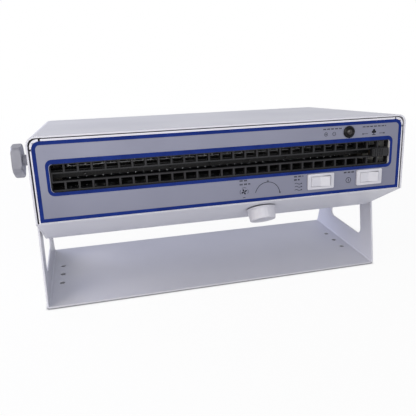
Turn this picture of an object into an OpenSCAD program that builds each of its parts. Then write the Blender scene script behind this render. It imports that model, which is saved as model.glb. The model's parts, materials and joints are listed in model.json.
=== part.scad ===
// Benchtop ionizing blower: a tilting sheet-metal housing in a U-shaped stand.
// A cross-flow fan blows air past a heater and a row of emitter needles, and out
// through a long slotted grille. The housing's parts are drawn about the tilt axis:
// X to the right, Y to the back, Z up, and in_housing() tilts and lifts them.

/* [Stand] */
// Depth of the base plate, front to back
base_d = 159; // [150:1:200]
// Thickness of the stand's bent sheet
stand_t = 2; // [1.5:0.1:3]
// Outside radius of the bends between base and arms
stand_bend_r = 4; // [3.5:0.5:8]
// Gap between the housing's side and each arm
arm_gap = 5.5; // [4:0.5:10]
// Height of the tilt axis above the bench
pivot_h = 158.3; // [150:0.1:190]
// Height of each arm above the tilt axis
arm_rise = 23.7; // [18:0.1:30]
// Depth of each arm at its top
arm_top_d = 76; // [60:1:90]
// Radius of the arms' top corners
arm_top_r = 16; // [5:1:24]
// Height of the sill under the window in each arm
window_sill = 28; // [20:1:40]
// Height of the window's top edge above the base
window_top = 118; // [90:1:122]
// Width of the arm's leg in front of the window
front_leg = 27; // [18:1:32]
// Width of the arm's leg behind the window
rear_leg = 34; // [18:1:38]
// Radius of the window's corners
window_r = 8; // [2:1:12]
// Diameter of the six mounting holes in the base
base_hole_d = 6.6; // [4:0.1:9]
// Distance between neighbouring mounting holes
base_hole_pitch = 23.5; // [15:0.5:35]
// Distance from the hole row to the arm's outer face
base_hole_inset = 15.4; // [12:0.1:30]

/* [Housing] */
// Outside width of the housing
case_w = 410; // [400:1:440]
// Depth of the housing, front panel to back panel
case_d = 226; // [215:1:250]
// Height of the housing
case_h = 121.8; // [120.8:0.1:125]
// Height of the upright front, above the sloping chin
face_h = 86; // [84:0.5:90]
// Depth of the sloping chin
chin_d = 68.5; // [62:0.5:75]
// Distance from the front panel to the tilt axis
pivot_back = 120; // [112:1:126]
// Distance from the housing's top to the tilt axis
pivot_drop = 37.8; // [36.8:0.1:39]
// Angle by which the housing leans back at rest
tilt = 5.9; // [0:0.1:12]
// Thickness of the cover sheet
cover_t = 1.8; // [1.2:0.1:2]
// Outside radius of the cover's top bends
cover_r = 9; // [6:0.5:12]
// How far the cover's front edge stands in front of the panel
cover_lip = 0.8; // [0.3:0.1:2]
// Thickness of the chassis, duct and panel sheets
sheet_t = 1.2; // [0.8:0.1:1.5]

/* [Front panel] */
// Thickness of the front panel
panel_t = 1.5; // [1:0.1:2]
// Dark gap between the panel's edge and the cover
panel_gap = 1.4; // [0.8:0.1:2.5]
// Radius of the panel's top corners
panel_r = 7.5; // [4:0.5:10]
// Depth of the panel's folded edges
panel_fold = 10; // [6:1:16]
// Distance from the housing's side to the relief slits at the corners
relief_inset = 12.8; // [11:0.1:20]
// Width of a relief slit
relief_w = 1.8; // [1:0.1:2.5]
// Width of the air outlet
outlet_w = 373; // [360:1:376]
// Height of the air outlet
outlet_h = 28.1; // [24:0.1:32]
// Distance from the housing's top to the middle of the outlet
outlet_down = 41.4; // [40:0.1:43]
// Radius of the outlet's corners
outlet_r = 4; // [2:0.5:6]
// Height of the switches' middle above the chin's upper edge
switch_up = 17.5; // [15:0.1:18]
// Distance from the middle of the panel to the heat switch
heat_switch_x = 100.2; // [85:0.1:110]
// Distance from the middle of the panel to the power switch
power_switch_x = 161; // [150:0.1:170]
// Width of a switch bezel
bezel_w = 32; // [28:0.5:36]
// Height of a switch bezel
bezel_h = 17.6; // [16.6:0.1:19]
// How far a switch bezel stands off the panel
bezel_t = 2; // [1.5:0.1:3]
// Height of a rocker
rocker_h = 11; // [9:0.1:12]
// Radius of a rocker about its pivot
rocker_r = 12.5; // [11:0.1:12.8]
// Half of the angle through which a rocker swings
rocker_swing = 7; // [4:0.5:8]
// Distance from the middle of the panel to the indicator lamp
lamp_x = 133.7; // [120:0.1:145]
// Distance from the housing's top to the indicator lamp
lamp_down = 15.8; // [15:0.1:16.5]
// Outside diameter of the lamp's bezel ring
lamp_d = 13.3; // [11:0.1:14]

/* [Outlet grille and cleaner] */
// How far the grille sits behind the panel's face
grille_recess = 3.6; // [3:0.1:5]
// Depth of the grille
grille_d = 6; // [4:0.5:8]
// Number of windows in each row of the grille
grille_cells = 28; // [20:1:32]
// Width of the bars between the windows
grille_bar = 2; // [1.2:0.1:3]
// Width of the long rails beside the cleaner's slot
grille_rail = 1.6; // [1:0.1:2.5]
// Height of the cleaner's slot
slot_h = 7.3; // [6:0.1:9]
// Width of the cleaner's finger block
cleaner_w = 21; // [14:0.5:26]
// Number of ribs on the cleaner's finger block
cleaner_ribs = 5; // [3:1:8]
// Number of emitter needles
needle_count = 8; // [4:1:10]
// Distance between the emitter needles
needle_pitch = 44; // [30:1:50]
// Diameter of an emitter needle
needle_d = 1.2; // [0.8:0.1:2]
// Free length of an emitter needle
needle_l = 11; // [8:0.5:14]

/* [Speed control] */
// Distance from the middle of the panel to the speed knob
speed_x = 37.5; // [20:0.5:55]
// Distance from the chin's upper edge to the knob's axis
speed_down = 26; // [22:0.5:32]
// Largest diameter of the speed knob
speed_knob_d = 33; // [26:0.5:36]
// Height of the speed knob
speed_knob_h = 14; // [10:0.5:18]
// Diameter of the control's shaft
speed_shaft_d = 6; // [4:0.5:8]

/* [Clamp knobs] */
// Distance from a clamp knob's axis to its flat faces, doubled
clamp_d = 35.8; // [28:0.2:38]
// Thickness of a clamp knob's grip
clamp_t = 11; // [8:0.5:15]
// Number of faces on a clamp knob's grip
clamp_faces = 5; // [5:1:8]
// Diameter of a clamp knob's hub
clamp_hub_d = 13; // [11:0.5:18]
// Length of a clamp knob's hub
clamp_hub_l = 11.5; // [6:0.5:16]
// Diameter of the clamp screws
clamp_screw_d = 8; // [5:0.5:9]

/* [Fan] */
// Outside diameter of the fan wheel
wheel_d = 45; // [40:0.5:47]
// Length of the fan wheel
wheel_l = 316; // [280:1:320]
// Distance from the housing's left side to the fan's left end plate
fan_inset = 26; // [20:1:32]
// Distance of the fan axis behind the tilt axis
fan_back = 16; // [12:1:20]
// Distance of the fan axis above the tilt axis
fan_up = 1; // [0:0.5:2]
// Number of blades
blades = 24; // [16:1:32]
// Diameter of the fan shaft
fan_shaft_d = 6; // [4:0.5:8]

/* [Back panel] */
// Width of the air inlet
inlet_w = 312; // [280:1:320]
// Distance from the housing's top to the air inlet
inlet_top = 9; // [8.6:0.1:12]
// Distance from the housing's bottom to the air inlet
inlet_up = 40.8; // [40.8:0.1:48]
// Number of slats in the inlet grille
inlet_slats = 8; // [5:1:10]
// Distance from the middle of the back panel to the mains inlet
mains_x = 150; // [130:1:165]
// Distance from the middle of the back panel to the fuse holder
fuse_x = 112; // [100:1:118]
// Height of both above the housing's bottom
mains_up = 19.5; // [19.2:0.1:20]

/* [Hidden] */
$fn = 48;

// Clearances
fit = 0.05;          // a shaft turning in its hole, all round
slide_gap = 0.3;     // faces that slide past each other
screw_gap = 0.2;     // a screw in its clearance hole, all round
eps = 1;             // how far a cut runs past a face

// Housing faces, measured from the tilt axis
z_top = pivot_drop;
z_bot = pivot_drop - case_h;
z_chin = z_top - face_h;
y_face = -pivot_back;
y_chin = y_face + chin_d;
y_back = case_d - pivot_back;
chin_a = atan2(z_chin - z_bot, chin_d);
x_side = case_w / 2;
x_in = x_side - cover_t;
z_floor = z_bot + sheet_t;
y_panel_back = y_face + panel_t;
y_back_in = y_back - sheet_t;

// Stand
stand_w = case_w + 2 * (arm_gap + stand_t);
x_arm = x_side + arm_gap;
arm_z1 = pivot_h + arm_rise;
arm_lean = (base_d - arm_top_d) / 2 / (arm_z1 - stand_bend_r);

// Front features
z_outlet = z_top - outlet_down;
z_switch = z_chin + switch_up;
z_lamp = z_top - lamp_down;
panel_x = x_in - panel_gap;
panel_z1 = z_top - cover_t - panel_gap + 0.4;
chin_edge_h = sheet_t * tan((90 - chin_a) / 2);
panel_z0 = z_chin + chin_edge_h + 0.2;
fold_inset = relief_inset - (case_w / 2 - panel_x);
y_grille = y_face + grille_recess;
y_grille_back = y_grille + grille_d;
row_h = (outlet_h - slot_h) / 2;
cell_pitch = outlet_w / grille_cells;

// Duct
duct_z0 = z_outlet - outlet_h / 2;
duct_z1 = z_outlet + outlet_h / 2;
duct_x = outlet_w / 2 + 0.5;
y_duct_bend = y_grille_back + 20;

// Emitters
bar_h = 8;
bar_d = 9;
needle_tip_l = 3;
brush_d = 3;
bristle_l = 1.2;
y_needle_tip = y_grille_back + slide_gap + brush_d + bristle_l + slide_gap;
y_bar = y_needle_tip + needle_l;

// Heater
heater_y = -62;
heater_d = 14;
heater_core_h = 4;
fin_t = 0.8;
fin_pitch = 9;
holder_w = 8;

// Fan
fan_x0 = -x_side + fan_inset;
wheel_gap = 3;
wheel_x0 = fan_x0 + wheel_gap;
wheel_x1 = wheel_x0 + wheel_l;
fan_x1 = wheel_x1 + wheel_gap;
end_t = 1.5;
scroll_r = wheel_d / 2 + 5;
blade_t = 0.8;
blade_l = 7;
disc_t = 1.6;
disc_count = 5;
hub_d = 14;
bush_d = 16;
bush_l = 9;
scroll_z = fan_up - scroll_r;
tongue_r = 3;
tongue_y = fan_back - wheel_d / 2 - 3;
duct_slope = (scroll_z - duct_z0) / (fan_back - y_duct_bend);
duct_z_rear = duct_z0 + duct_slope * (tongue_y - y_duct_bend);

// Motor
stator_l = 16;
stator_w = 44;
rotor_d = 22;
rotor_gap = 0.6;
motor_x0 = fan_x1 + end_t + 4;
bracket_t = 2;
foot_l = 12;

// Back panel
inlet_h = case_h - inlet_top - inlet_up;
z_inlet = z_top - inlet_top - inlet_h / 2;
grille_frame = 8;
inlet_grille_d = 5;
filter_t = 5;
z_mains = z_bot + mains_up;
mains_w = 27;
mains_h = 20;
mains_depth = 22;
socket_w = 24;
socket_h = 16;
socket_depth = 15.5;
mains_flange_w = 48;
mains_flange_h = 23;
mains_flange_t = 3;
mains_screw_x = 20;
y_socket = y_back + mains_flange_t - socket_depth;
fuse_d = 12;
fuse_depth = 24;
fuse_rim_t = 3;
fuse_cap_l = 4;

// Hardware
cover_screw_d = 3.8;
cover_head_d = 7.2;
cover_head_t = 2.2;
cover_screw_in = [23.5, 18];
cover_screw_y = [y_chin + cover_screw_in[0], y_back - cover_screw_in[1]];
cover_screw_up = 6.5;
flange_up = 14;
washer_d = 26;
nut_d = 15;
nut_l = 8;
back_screw_d = 3;
back_head_d = 5.8;
back_head_t = 1.8;
screw_past = 3;
back_flange = 9;

// Switches
rocker_axis_in = 3;
rocker_rise = 2.2;
rocker_pin_d = 2.4;
rocker_pin_l = 1.4;
switch_body_w = 28;
switch_body_h = 14.4;
switch_body_d = 20;
rocker_gap = 0.35;

// Speed control
speed_body_d = 24;
speed_body_l = 12;
speed_bush_d = 9.4;
speed_bush_l = 6;
speed_nut_d = 14;
speed_nut_t = 2;
knob_gap = 1.4;
knob_skirt = 2.2;
knob_taper = 1.2;

// Clamp knobs
clamp_bevel = 1.6;
clamp_blunt = 1.2;
clamp_turn = 6;

// Electronics
board_x = 20;
board_y = 40;
board_w = 120;
board_d = 76;
board_t = 1.6;
board_up = 8;
relay_w = 28;
relay_d = 12;
relay_h = 15;
capacitors = 3;
capacitor_pitch = 16;
capacitor_d = 12;
capacitor_h = 18;
terminal_w = 60;
terminal_d = 10;
terminal_h = 10;
sink_w = 14;
sink_d = 20;
sink_h = 20;
stud_d = 4;
stud_l = 14;
stud_nut_t = 3;
hv_x = -120;
hv_y = 46;
hv_w = 62;
hv_d = 44;
hv_h = 34;

// ---------- shapes ----------

// Block between two corners given as ranges
module box(x, y, z) {
  translate([x[0], y[0], z[0]]) cube([x[1] - x[0], y[1] - y[0], z[1] - z[0]]);
}

// Extrudes an outline drawn in X and Z from y0 back to y1
module to_y(y0, y1) {
  translate([0, y1, 0]) rotate([90, 0, 0]) linear_extrude(y1 - y0) children();
}

// Extrudes an outline drawn in Y and Z from x0 right to x1
module to_x(x0, x1) {
  translate([x0, 0, 0]) rotate([90, 0, 90]) linear_extrude(x1 - x0) children();
}

// Round rod along Y
module rod_y(y0, y1, d) {
  translate([0, y0, 0]) rotate([-90, 0, 0]) cylinder(h = y1 - y0, d = d);
}

// Round rod along X
module rod_x(x0, x1, d) {
  translate([x0, 0, 0]) rotate([0, 90, 0]) cylinder(h = x1 - x0, d = d);
}

// Rectangle about the origin with round corners
module round_rect(w, h, r) {
  square([w - 2 * r, h], center = true);
  square([w, h - 2 * r], center = true);
  for (sx = [-1, 1], sz = [-1, 1]) translate([sx * (w / 2 - r), sz * (h / 2 - r)]) circle(r);
}

// Upright outline with round top corners only
module round_top(w, z0, z1, r) {
  translate([-w / 2, z0]) square([w, z1 - r - z0]);
  translate([-w / 2 + r, z0]) square([w - 2 * r, z1 - z0]);
  for (s = [-1, 1]) translate([s * (w / 2 - r), z1 - r]) circle(r);
}

// Points of the arc that rounds corner b between its neighbours a and c
function corner(a, b, c, r, n = 8) =
  let (u = (a - b) / norm(a - b), w = (c - b) / norm(c - b), half = acos(u * w) / 2,
       m = b + (u + w) / norm(u + w) * r / sin(half), p = b + u * r / tan(half),
       q = b + w * r / tan(half), a0 = atan2(p.y - m.y, p.x - m.x),
       turn = (atan2(q.y - m.y, q.x - m.x) - a0 + 540) % 360 - 180)
  r == 0 ? [b] : [for (i = [0:n]) m + r * [cos(a0 + turn * i / n), sin(a0 + turn * i / n)]];

// Outline through the points with each corner rounded to its own radius
function rounded(pts, radii) =
  [for (i = [0:len(pts) - 1])
    each corner(pts[(i + len(pts) - 1) % len(pts)], pts[i], pts[(i + 1) % len(pts)], radii[i])];

// Tilts and lifts the housing's parts from the tilt axis to their place
module in_housing() {
  translate([0, 0, pivot_h]) rotate([-tilt, 0, 0]) children();
}

// Places parts on the sloping chin: Z points out of the chin, X to the right
module on_chin(x, along) {
  translate([x, y_face + along * cos(chin_a), z_chin - along * sin(chin_a)])
    rotate([180 - chin_a, 0, 0]) children();
}

// Places a copy on the left and the right side, mirrored
module both_sides() {
  children();
  mirror([1, 0, 0]) children();
}

// ---------- stand ----------

module arm_outline() {
  z0 = stand_bend_r;
  polygon(rounded(
    [[-base_d / 2, z0], [base_d / 2, z0], [arm_top_d / 2, arm_z1], [-arm_top_d / 2, arm_z1]],
    [0, 0, arm_top_r, arm_top_r]));
}

function arm_edge(z) = base_d / 2 - arm_lean * (z - stand_bend_r);

module arm_window() {
  polygon(rounded(
    [[-arm_edge(window_sill) + front_leg, window_sill],
     [arm_edge(window_sill) - rear_leg, window_sill],
     [arm_edge(window_top) - rear_leg, window_top],
     [-arm_edge(window_top) + front_leg, window_top]],
    [window_r, window_r, window_r, window_r]));
}

module stand_arm() {
  x1 = stand_w / 2;
  difference() {
    union() {
      to_x(x_arm, x1) arm_outline();
      to_y(-base_d / 2, base_d / 2) translate([x1 - stand_bend_r, stand_bend_r])
        intersection() {
          difference() {
            circle(stand_bend_r);
            circle(stand_bend_r - stand_t);
          }
          translate([0, -stand_bend_r]) square(stand_bend_r);
        }
    }
    to_x(x_arm - eps, x1 + eps) arm_window();
    translate([0, 0, pivot_h]) rod_x(x_arm - eps, x1 + eps, clamp_screw_d + 2 * fit);
  }
}

module stand_bracket() {
  half = stand_w / 2 - stand_bend_r;
  color("gainsboro") {
    difference() {
      box([-half, half], [-base_d / 2, base_d / 2], [0, stand_t]);
      for (s = [-1, 1], i = [-1:1])
        translate([s * (stand_w / 2 - base_hole_inset), i * base_hole_pitch, -eps])
          cylinder(h = stand_t + 2 * eps, d = base_hole_d);
    }
    both_sides() stand_arm();
  }
}

module spacer_washers() {
  color("dimgray") in_housing() both_sides() difference() {
    rod_x(x_side, x_arm - fit, washer_d);
    rod_x(x_side - eps, x_arm + eps, clamp_screw_d + 2 * screw_gap);
  }
}

// ---------- housing shell ----------

// Side view of everything below the chin's slope
module chin_cut() {
  run = 3 * cover_lip;
  polygon([[y_face - run, z_chin + run * tan(chin_a)], [y_chin, z_bot],
           [y_chin, z_bot - eps], [y_face - run, z_bot - eps]]);
}

module top_cover() {
  color("gainsboro") in_housing() difference() {
    to_y(y_face - cover_lip, y_back) round_top(case_w, z_bot, z_top, cover_r);
    to_y(y_face - cover_lip - eps, y_back + eps)
      round_top(2 * x_in, z_bot - eps, z_top - cover_t, cover_r - cover_t);
    to_x(-x_side - eps, x_side + eps) chin_cut();
    rod_x(-x_side - eps, x_side + eps, clamp_screw_d + 2 * screw_gap);
    for (y = cover_screw_y) translate([0, y, z_bot + cover_screw_up])
      rod_x(-x_side - eps, x_side + eps, cover_screw_d + 2 * screw_gap);
  }
}

// Side view of the bent chassis sheet: chin, floor and rear lip
module tray_outline() {
  t = sheet_t;
  polygon([[y_face, z_chin + chin_edge_h], [y_face, z_chin], [y_chin, z_bot],
           [y_back_in, z_bot], [y_back_in, z_bot + back_flange],
           [y_back_in - t, z_bot + back_flange], [y_back_in - t, z_floor],
           [y_chin + t * tan(chin_a / 2), z_floor], [y_face + t, z_chin + chin_edge_h]]);
}

// Side view of the chassis' upright side flanges
module tray_flange_outline() {
  polygon([[y_chin, z_floor], [y_back_in - sheet_t, z_floor],
           [y_back_in - sheet_t, z_bot + flange_up], [y_chin, z_bot + flange_up]]);
}

module chassis_tray() {
  color("gainsboro") in_housing() difference() {
    union() {
      to_x(-x_in, x_in) tray_outline();
      to_x(x_in - sheet_t, x_in) tray_flange_outline();
      to_x(-x_in, -x_in + sheet_t) tray_flange_outline();
    }
    for (y = cover_screw_y) translate([0, y, z_bot + cover_screw_up])
      rod_x(-x_side, x_side, cover_screw_d + 2 * fit);
    on_chin(speed_x, speed_down) translate([0, 0, -sheet_t - eps])
      cylinder(h = sheet_t + 2 * eps, d = speed_bush_d + 2 * fit);
    for (x = back_screw_x()) translate([x, 0, z_bot + back_flange / 2])
      rod_y(y_back_in - sheet_t - eps, y_back + eps, back_screw_d + 2 * fit);
  }
}

// ---------- front panel ----------

module panel_outline() {
  round_top(2 * panel_x, panel_z0, panel_z1, panel_r);
}

module front_panel() {
  slit_z = z_top - relief_inset;
  color("silver") in_housing() difference() {
    union() {
      to_y(y_face, y_panel_back) panel_outline();
      box([-panel_x + fold_inset, panel_x - fold_inset], [y_panel_back, y_face + panel_fold],
          [panel_z1 - sheet_t, panel_z1]);
      for (s = [-1, 1]) scale([s, 1, 1])
        box([panel_x - sheet_t, panel_x], [y_panel_back, y_face + panel_fold],
            [panel_z0 + 2, slit_z]);
    }
    to_y(y_face - eps, y_panel_back + eps)
      translate([0, z_outlet]) round_rect(outlet_w, outlet_h, outlet_r);
    for (s = [-1, 1]) {
      box([s * (panel_x - fold_inset) - relief_w / 2, s * (panel_x - fold_inset) + relief_w / 2],
          [y_face - eps, y_face + panel_fold + eps], [panel_z1 - 2, panel_z1 + eps]);
      box([s * panel_x - 1.2, s * panel_x + 1.2], [y_face - eps, y_face + panel_fold + eps],
          [slit_z - relief_w / 2, slit_z + relief_w / 2]);
    }
    for (x = [heat_switch_x, power_switch_x]) translate([x, 0, z_switch])
      box([-switch_body_w / 2, switch_body_w / 2], [y_face - eps, y_panel_back + eps],
          [-switch_body_h / 2, switch_body_h / 2]);
    translate([lamp_x, 0, z_lamp]) rod_y(y_face - eps, y_panel_back + eps, lamp_hole_d());
  }
}

function lamp_hole_d() = lamp_d - 4;

// ---------- outlet ----------

// Channel behind the panel: level floor between two side walls that run back to the fan
module outlet_duct() {
  color("white") in_housing() {
    box([-duct_x, duct_x], [y_panel_back, y_duct_bend], [duct_z0 - sheet_t, duct_z0]);
    for (s = [-1, 1]) scale([s, 1, 1]) to_x(duct_x, duct_x + sheet_t)
      polygon([[y_panel_back, duct_z0 - sheet_t], [y_duct_bend, duct_z0 - sheet_t],
               [tongue_y, duct_z_rear - sheet_t], [tongue_y, duct_z1 + sheet_t],
               [y_panel_back, duct_z1 + sheet_t]]);
  }
}

// Sloping floor sheet from the channel's floor down to the scroll
module duct_ramp() {
  color("#141416") in_housing() to_x(-duct_x, duct_x)
    polygon([[y_duct_bend, duct_z0], [tongue_y, duct_z_rear],
             [tongue_y, duct_z_rear - sheet_t], [y_duct_bend, duct_z0 - sheet_t]]);
}

// Upright sheets that close the duct beside the fan
module duct_blanks() {
  z0 = duct_z_rear - duct_slope * sheet_t;
  color("#141416") in_housing()
    for (x = [[-duct_x, fan_x0 + end_t], [fan_x1, duct_x]])
      box(x, [tongue_y - sheet_t, tongue_y], [z0, duct_z1]);
}

// Flat lid between the duct's side walls
module duct_roof() {
  color("#141416") in_housing()
    box([-duct_x, duct_x], [y_panel_back, tongue_y], [duct_z1, duct_z1 + sheet_t]);
}

// Window pattern of one row of the grille, centred on the row
module grille_row(h) {
  for (i = [0:grille_cells - 1]) translate([(i - (grille_cells - 1) / 2) * cell_pitch, 0])
    square([cell_pitch - grille_bar, h], center = true);
}

module outlet_grille() {
  cell_h = row_h - 2 * grille_rail;
  color([0.11, 0.11, 0.13]) in_housing() translate([0, 0, z_outlet])
    to_y(y_grille, y_grille_back) difference() {
      square([outlet_w + 1, outlet_h], center = true);
      square([outlet_w - 2 * grille_bar, slot_h], center = true);
      for (s = [-1, 1]) translate([0, s * (slot_h + row_h) / 2]) grille_row(cell_h);
    }
}

module emitter_bar() {
  color("#141416") in_housing() translate([0, 0, z_outlet]) difference() {
    box([-duct_x, duct_x], [y_bar, y_bar + bar_d], [-bar_h / 2, bar_h / 2]);
    for (i = [0:needle_count - 1]) translate([needle_x(i), 0, 0])
      rod_y(y_bar - eps, y_bar + bar_d / 2, needle_d + 2 * fit);
  }
}

function needle_x(i) = (i - (needle_count - 1) / 2) * needle_pitch;

module emitter_needles() {
  color("lightgray") in_housing() for (i = [0:needle_count - 1])
    translate([needle_x(i), 0, z_outlet]) {
      rod_y(y_needle_tip + needle_tip_l, y_bar + bar_d / 2, needle_d);
      translate([0, y_needle_tip + needle_tip_l, 0]) rotate([90, 0, 0])
        cylinder(h = needle_tip_l, d1 = needle_d, d2 = 0.2);
    }
}

// Finger block in front of the grille, on a neck that runs in the slot
module cleaner_slider() {
  neck_h = slot_h - 2 * slide_gap;
  x1 = outlet_w / 2 - 1;
  x0 = x1 - cleaner_w;
  y1 = y_grille - slide_gap;
  rib = cleaner_w * 0.7 / cleaner_ribs;
  color([0.13, 0.13, 0.15]) in_housing() translate([0, 0, z_outlet]) {
    box([x0, x1], [y_face - 0.2, y1], [-slot_h / 2 - 1, slot_h / 2 + 1]);
    for (i = [0:cleaner_ribs - 1])
      box([x0 + rib * (i + 0.3), x0 + rib * (i + 0.8)], [y_face - 1.2, y_face - 0.2],
          [-slot_h / 2 - 0.4, slot_h / 2 + 0.4]);
    box([x0 + 3, x1 - 4], [y1, y_grille_back + slide_gap], [-neck_h / 2, neck_h / 2]);
  }
}

module cleaner_brush() {
  x1 = outlet_w / 2 - 1 - 3;
  x0 = x1 - cleaner_w + 6;
  y0 = y_grille_back + slide_gap;
  tuft = 1.6;
  tufts = 4;
  color("saddlebrown") in_housing() translate([0, 0, z_outlet]) {
    box([x0, x1], [y0, y0 + brush_d], [-slot_h / 2 - 1, slot_h / 2 + 1]);
    for (i = [0:tufts - 1], k = [-1:1])
      translate([x0 + (i + 0.5) * (x1 - x0) / tufts, 0, k * 2.2])
        rod_y(y0 + brush_d, y0 + brush_d + bristle_l, tuft);
  }
}

// ---------- heater ----------

module heater_core() {
  color("dimgray") in_housing()
    box([-duct_x + holder_w, duct_x - holder_w], [heater_y, heater_y + heater_d],
        [z_outlet - heater_core_h / 2, z_outlet + heater_core_h / 2]);
}

module heater_fins() {
  fin_x = duct_x - holder_w - 6;
  fins = floor(2 * fin_x / fin_pitch);
  h = outlet_h / 2 - heater_core_h / 2 - 3;
  color("lightgray") in_housing() for (s = [-1, 1]) translate([0, 0, z_outlet]) scale([1, 1, s]) {
    for (i = [0:fins]) translate([(i - fins / 2) * fin_pitch, 0, 0])
      box([-fin_t / 2, fin_t / 2], [heater_y, heater_y + heater_d],
          [heater_core_h / 2 + fin_t, heater_core_h / 2 + h]);
    box([-fin_x, fin_x], [heater_y, heater_y + heater_d],
        [heater_core_h / 2, heater_core_h / 2 + fin_t]);
  }
}

module heater_holders() {
  color("tan") in_housing() for (s = [-1, 1]) scale([s, 1, 1])
    box([duct_x - holder_w, duct_x], [heater_y - 3, heater_y + heater_d + 3],
        [z_outlet - outlet_h / 2, z_outlet + outlet_h / 2]);
}

// ---------- fan ----------

// Curved wall behind and under the wheel, with a floor that runs on to the duct
module scroll_back() {
  color("silver") in_housing() to_x(fan_x0 + end_t, fan_x1) {
    translate([fan_back, fan_up]) intersection() {
      difference() {
        circle(scroll_r + sheet_t);
        circle(scroll_r);
      }
      translate([0, -scroll_r - sheet_t]) square([scroll_r + sheet_t, scroll_r * 1.4]);
    }
    polygon([[tongue_y, duct_z_rear], [fan_back, scroll_z], [fan_back, scroll_z - sheet_t],
             [tongue_y, duct_z_rear - sheet_t]]);
  }
}

module scroll_tongue() {
  z0 = duct_z1 + sheet_t;
  color("silver") in_housing() to_x(fan_x0 + end_t, fan_x1) difference() {
    union() {
      translate([tongue_y - tongue_r, z0 + tongue_r]) circle(tongue_r);
      translate([tongue_y - 4 * tongue_r, z0]) square([3 * tongue_r, sheet_t]);
      translate([tongue_y - 4 * tongue_r, z0 + 2 * tongue_r - sheet_t])
        square([3 * tongue_r, sheet_t]);
    }
    translate([tongue_y - tongue_r, z0 + tongue_r]) circle(tongue_r - sheet_t);
  }
}

// Upright sheet on a bent foot: carries the scroll, and the bush or the motor
module fan_end_plate(x, foot_side, hole) {
  y0 = fan_back - wheel_d / 2 - 2;
  y1 = fan_back + scroll_r + 8;
  z1 = z_top - cover_t - 4;
  difference() {
    union() {
      to_x(x, x + end_t) polygon([[y0, z_floor], [y1, z_floor], [y1, z1 - 14], [y1 - 14, z1],
                                  [y0, z1]]);
      box([foot_side > 0 ? x : x - foot_l, foot_side > 0 ? x + end_t + foot_l : x + end_t],
          [y0, y1], [z_floor, z_floor + end_t]);
    }
    translate([0, fan_back, fan_up]) rod_x(x - eps, x + end_t + eps, hole);
  }
}

module fan_end_plate_left() {
  color("silver") in_housing() fan_end_plate(fan_x0, -1, bush_d);
}

module fan_end_plate_right() {
  color("silver") in_housing() fan_end_plate(fan_x1, 1, hub_d + 4);
}

module fan_bush() {
  color([0.2, 0.2, 0.2]) in_housing() translate([0, fan_back, fan_up]) difference() {
    union() {
      rod_x(fan_x0 - bush_l / 2, fan_x0 + end_t, bush_d);
      rod_x(fan_x0 - bush_l / 2, fan_x0, bush_d + 5);
    }
    rod_x(fan_x0 - bush_l, fan_x0 + 2 * end_t, fan_shaft_d + 2 * fit);
  }
}

module fan_wheel() {
  step = (wheel_l - disc_t) / (disc_count - 1);
  color("silver") in_housing() translate([0, fan_back, fan_up]) difference() {
    union() {
      for (i = [0:disc_count - 1])
        rod_x(wheel_x0 + i * step, wheel_x0 + i * step + disc_t, wheel_d);
      rod_x(wheel_x0, wheel_x0 + 8, hub_d);
      rod_x(wheel_x1 - 8, wheel_x1, hub_d);
      for (i = [0:blades - 1]) rotate([i * 360 / blades, 0, 0])
        translate([0, wheel_d / 2 - blade_l, 0]) rotate([-25, 0, 0])
          box([wheel_x0, wheel_x1], [0, blade_l], [-blade_t / 2, blade_t / 2]);
    }
    rod_x(wheel_x0 - eps, wheel_x1 + eps, fan_shaft_d + 2 * fit);
  }
}

module fan_shaft() {
  color("lightgray") in_housing() translate([0, fan_back, fan_up])
    rod_x(fan_x0 - bush_l / 2, motor_x0 + stator_l + 8, fan_shaft_d);
}

module motor_stator() {
  y0 = fan_back - stator_w / 2;
  z0 = fan_up - stator_w / 2 - 10;
  color("dimgray") in_housing() difference() {
    box([motor_x0, motor_x0 + stator_l], [y0, y0 + stator_w], [z0, z0 + stator_w + 10]);
    translate([0, fan_back, fan_up])
      rod_x(motor_x0 - eps, motor_x0 + stator_l + eps, rotor_d + 2 * rotor_gap);
    box([motor_x0 - eps, motor_x0 + stator_l + eps], [y0 + 10, y0 + stator_w - 10],
        [z0 + 8, z0 + 15]);
  }
}

// Copper winding round the stator's lower limb
module motor_coil() {
  y0 = fan_back - stator_w / 2 + 12;
  z0 = fan_up - stator_w / 2 - 10;
  wrap = 3;
  color("chocolate") in_housing() difference() {
    box([motor_x0 - wrap, motor_x0 + stator_l + wrap], [y0, y0 + stator_w - 24],
        [z0 - wrap, z0 + 8 + wrap]);
    box([motor_x0, motor_x0 + stator_l], [y0 - eps, y0 + stator_w], [z0, z0 + 8]);
  }
}

// Channel bracket that holds the motor to the fan's right end plate and the floor
module motor_bracket() {
  x0 = motor_x0 + stator_l + 6;
  y0 = fan_back - stator_w / 2;
  color("silver") in_housing() difference() {
    union() {
      box([x0, x0 + bracket_t], [y0, y0 + stator_w], [z_floor, fan_up + stator_w / 2]);
      box([x0 - foot_l, x0], [y0, y0 + stator_w], [z_floor, z_floor + bracket_t]);
      for (y = [y0, y0 + stator_w - 6])
        box([motor_x0 + stator_l, x0], [y, y + 6], [fan_up + stator_w / 2 - 6, fan_up + stator_w / 2]);
    }
    translate([0, fan_back, fan_up]) rod_x(x0 - eps, x0 + bracket_t + eps, fan_shaft_d + 2 * fit);
  }
}

module motor_rotor() {
  color("gray") in_housing() translate([0, fan_back, fan_up]) difference() {
    rod_x(motor_x0 - 1, motor_x0 + stator_l + 1, rotor_d);
    rod_x(motor_x0 - 2 * eps, motor_x0 + stator_l + 2 * eps, fan_shaft_d + 2 * fit);
  }
}

// ---------- back ----------

function back_screw_x() = [-x_in + 14, 0, x_in - 14];

module mains_cutout() {
  translate([mains_x, 0, z_mains])
    box([-mains_w / 2, mains_w / 2], [y_back_in - eps, y_back + eps], [-mains_h / 2, mains_h / 2]);
}

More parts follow.
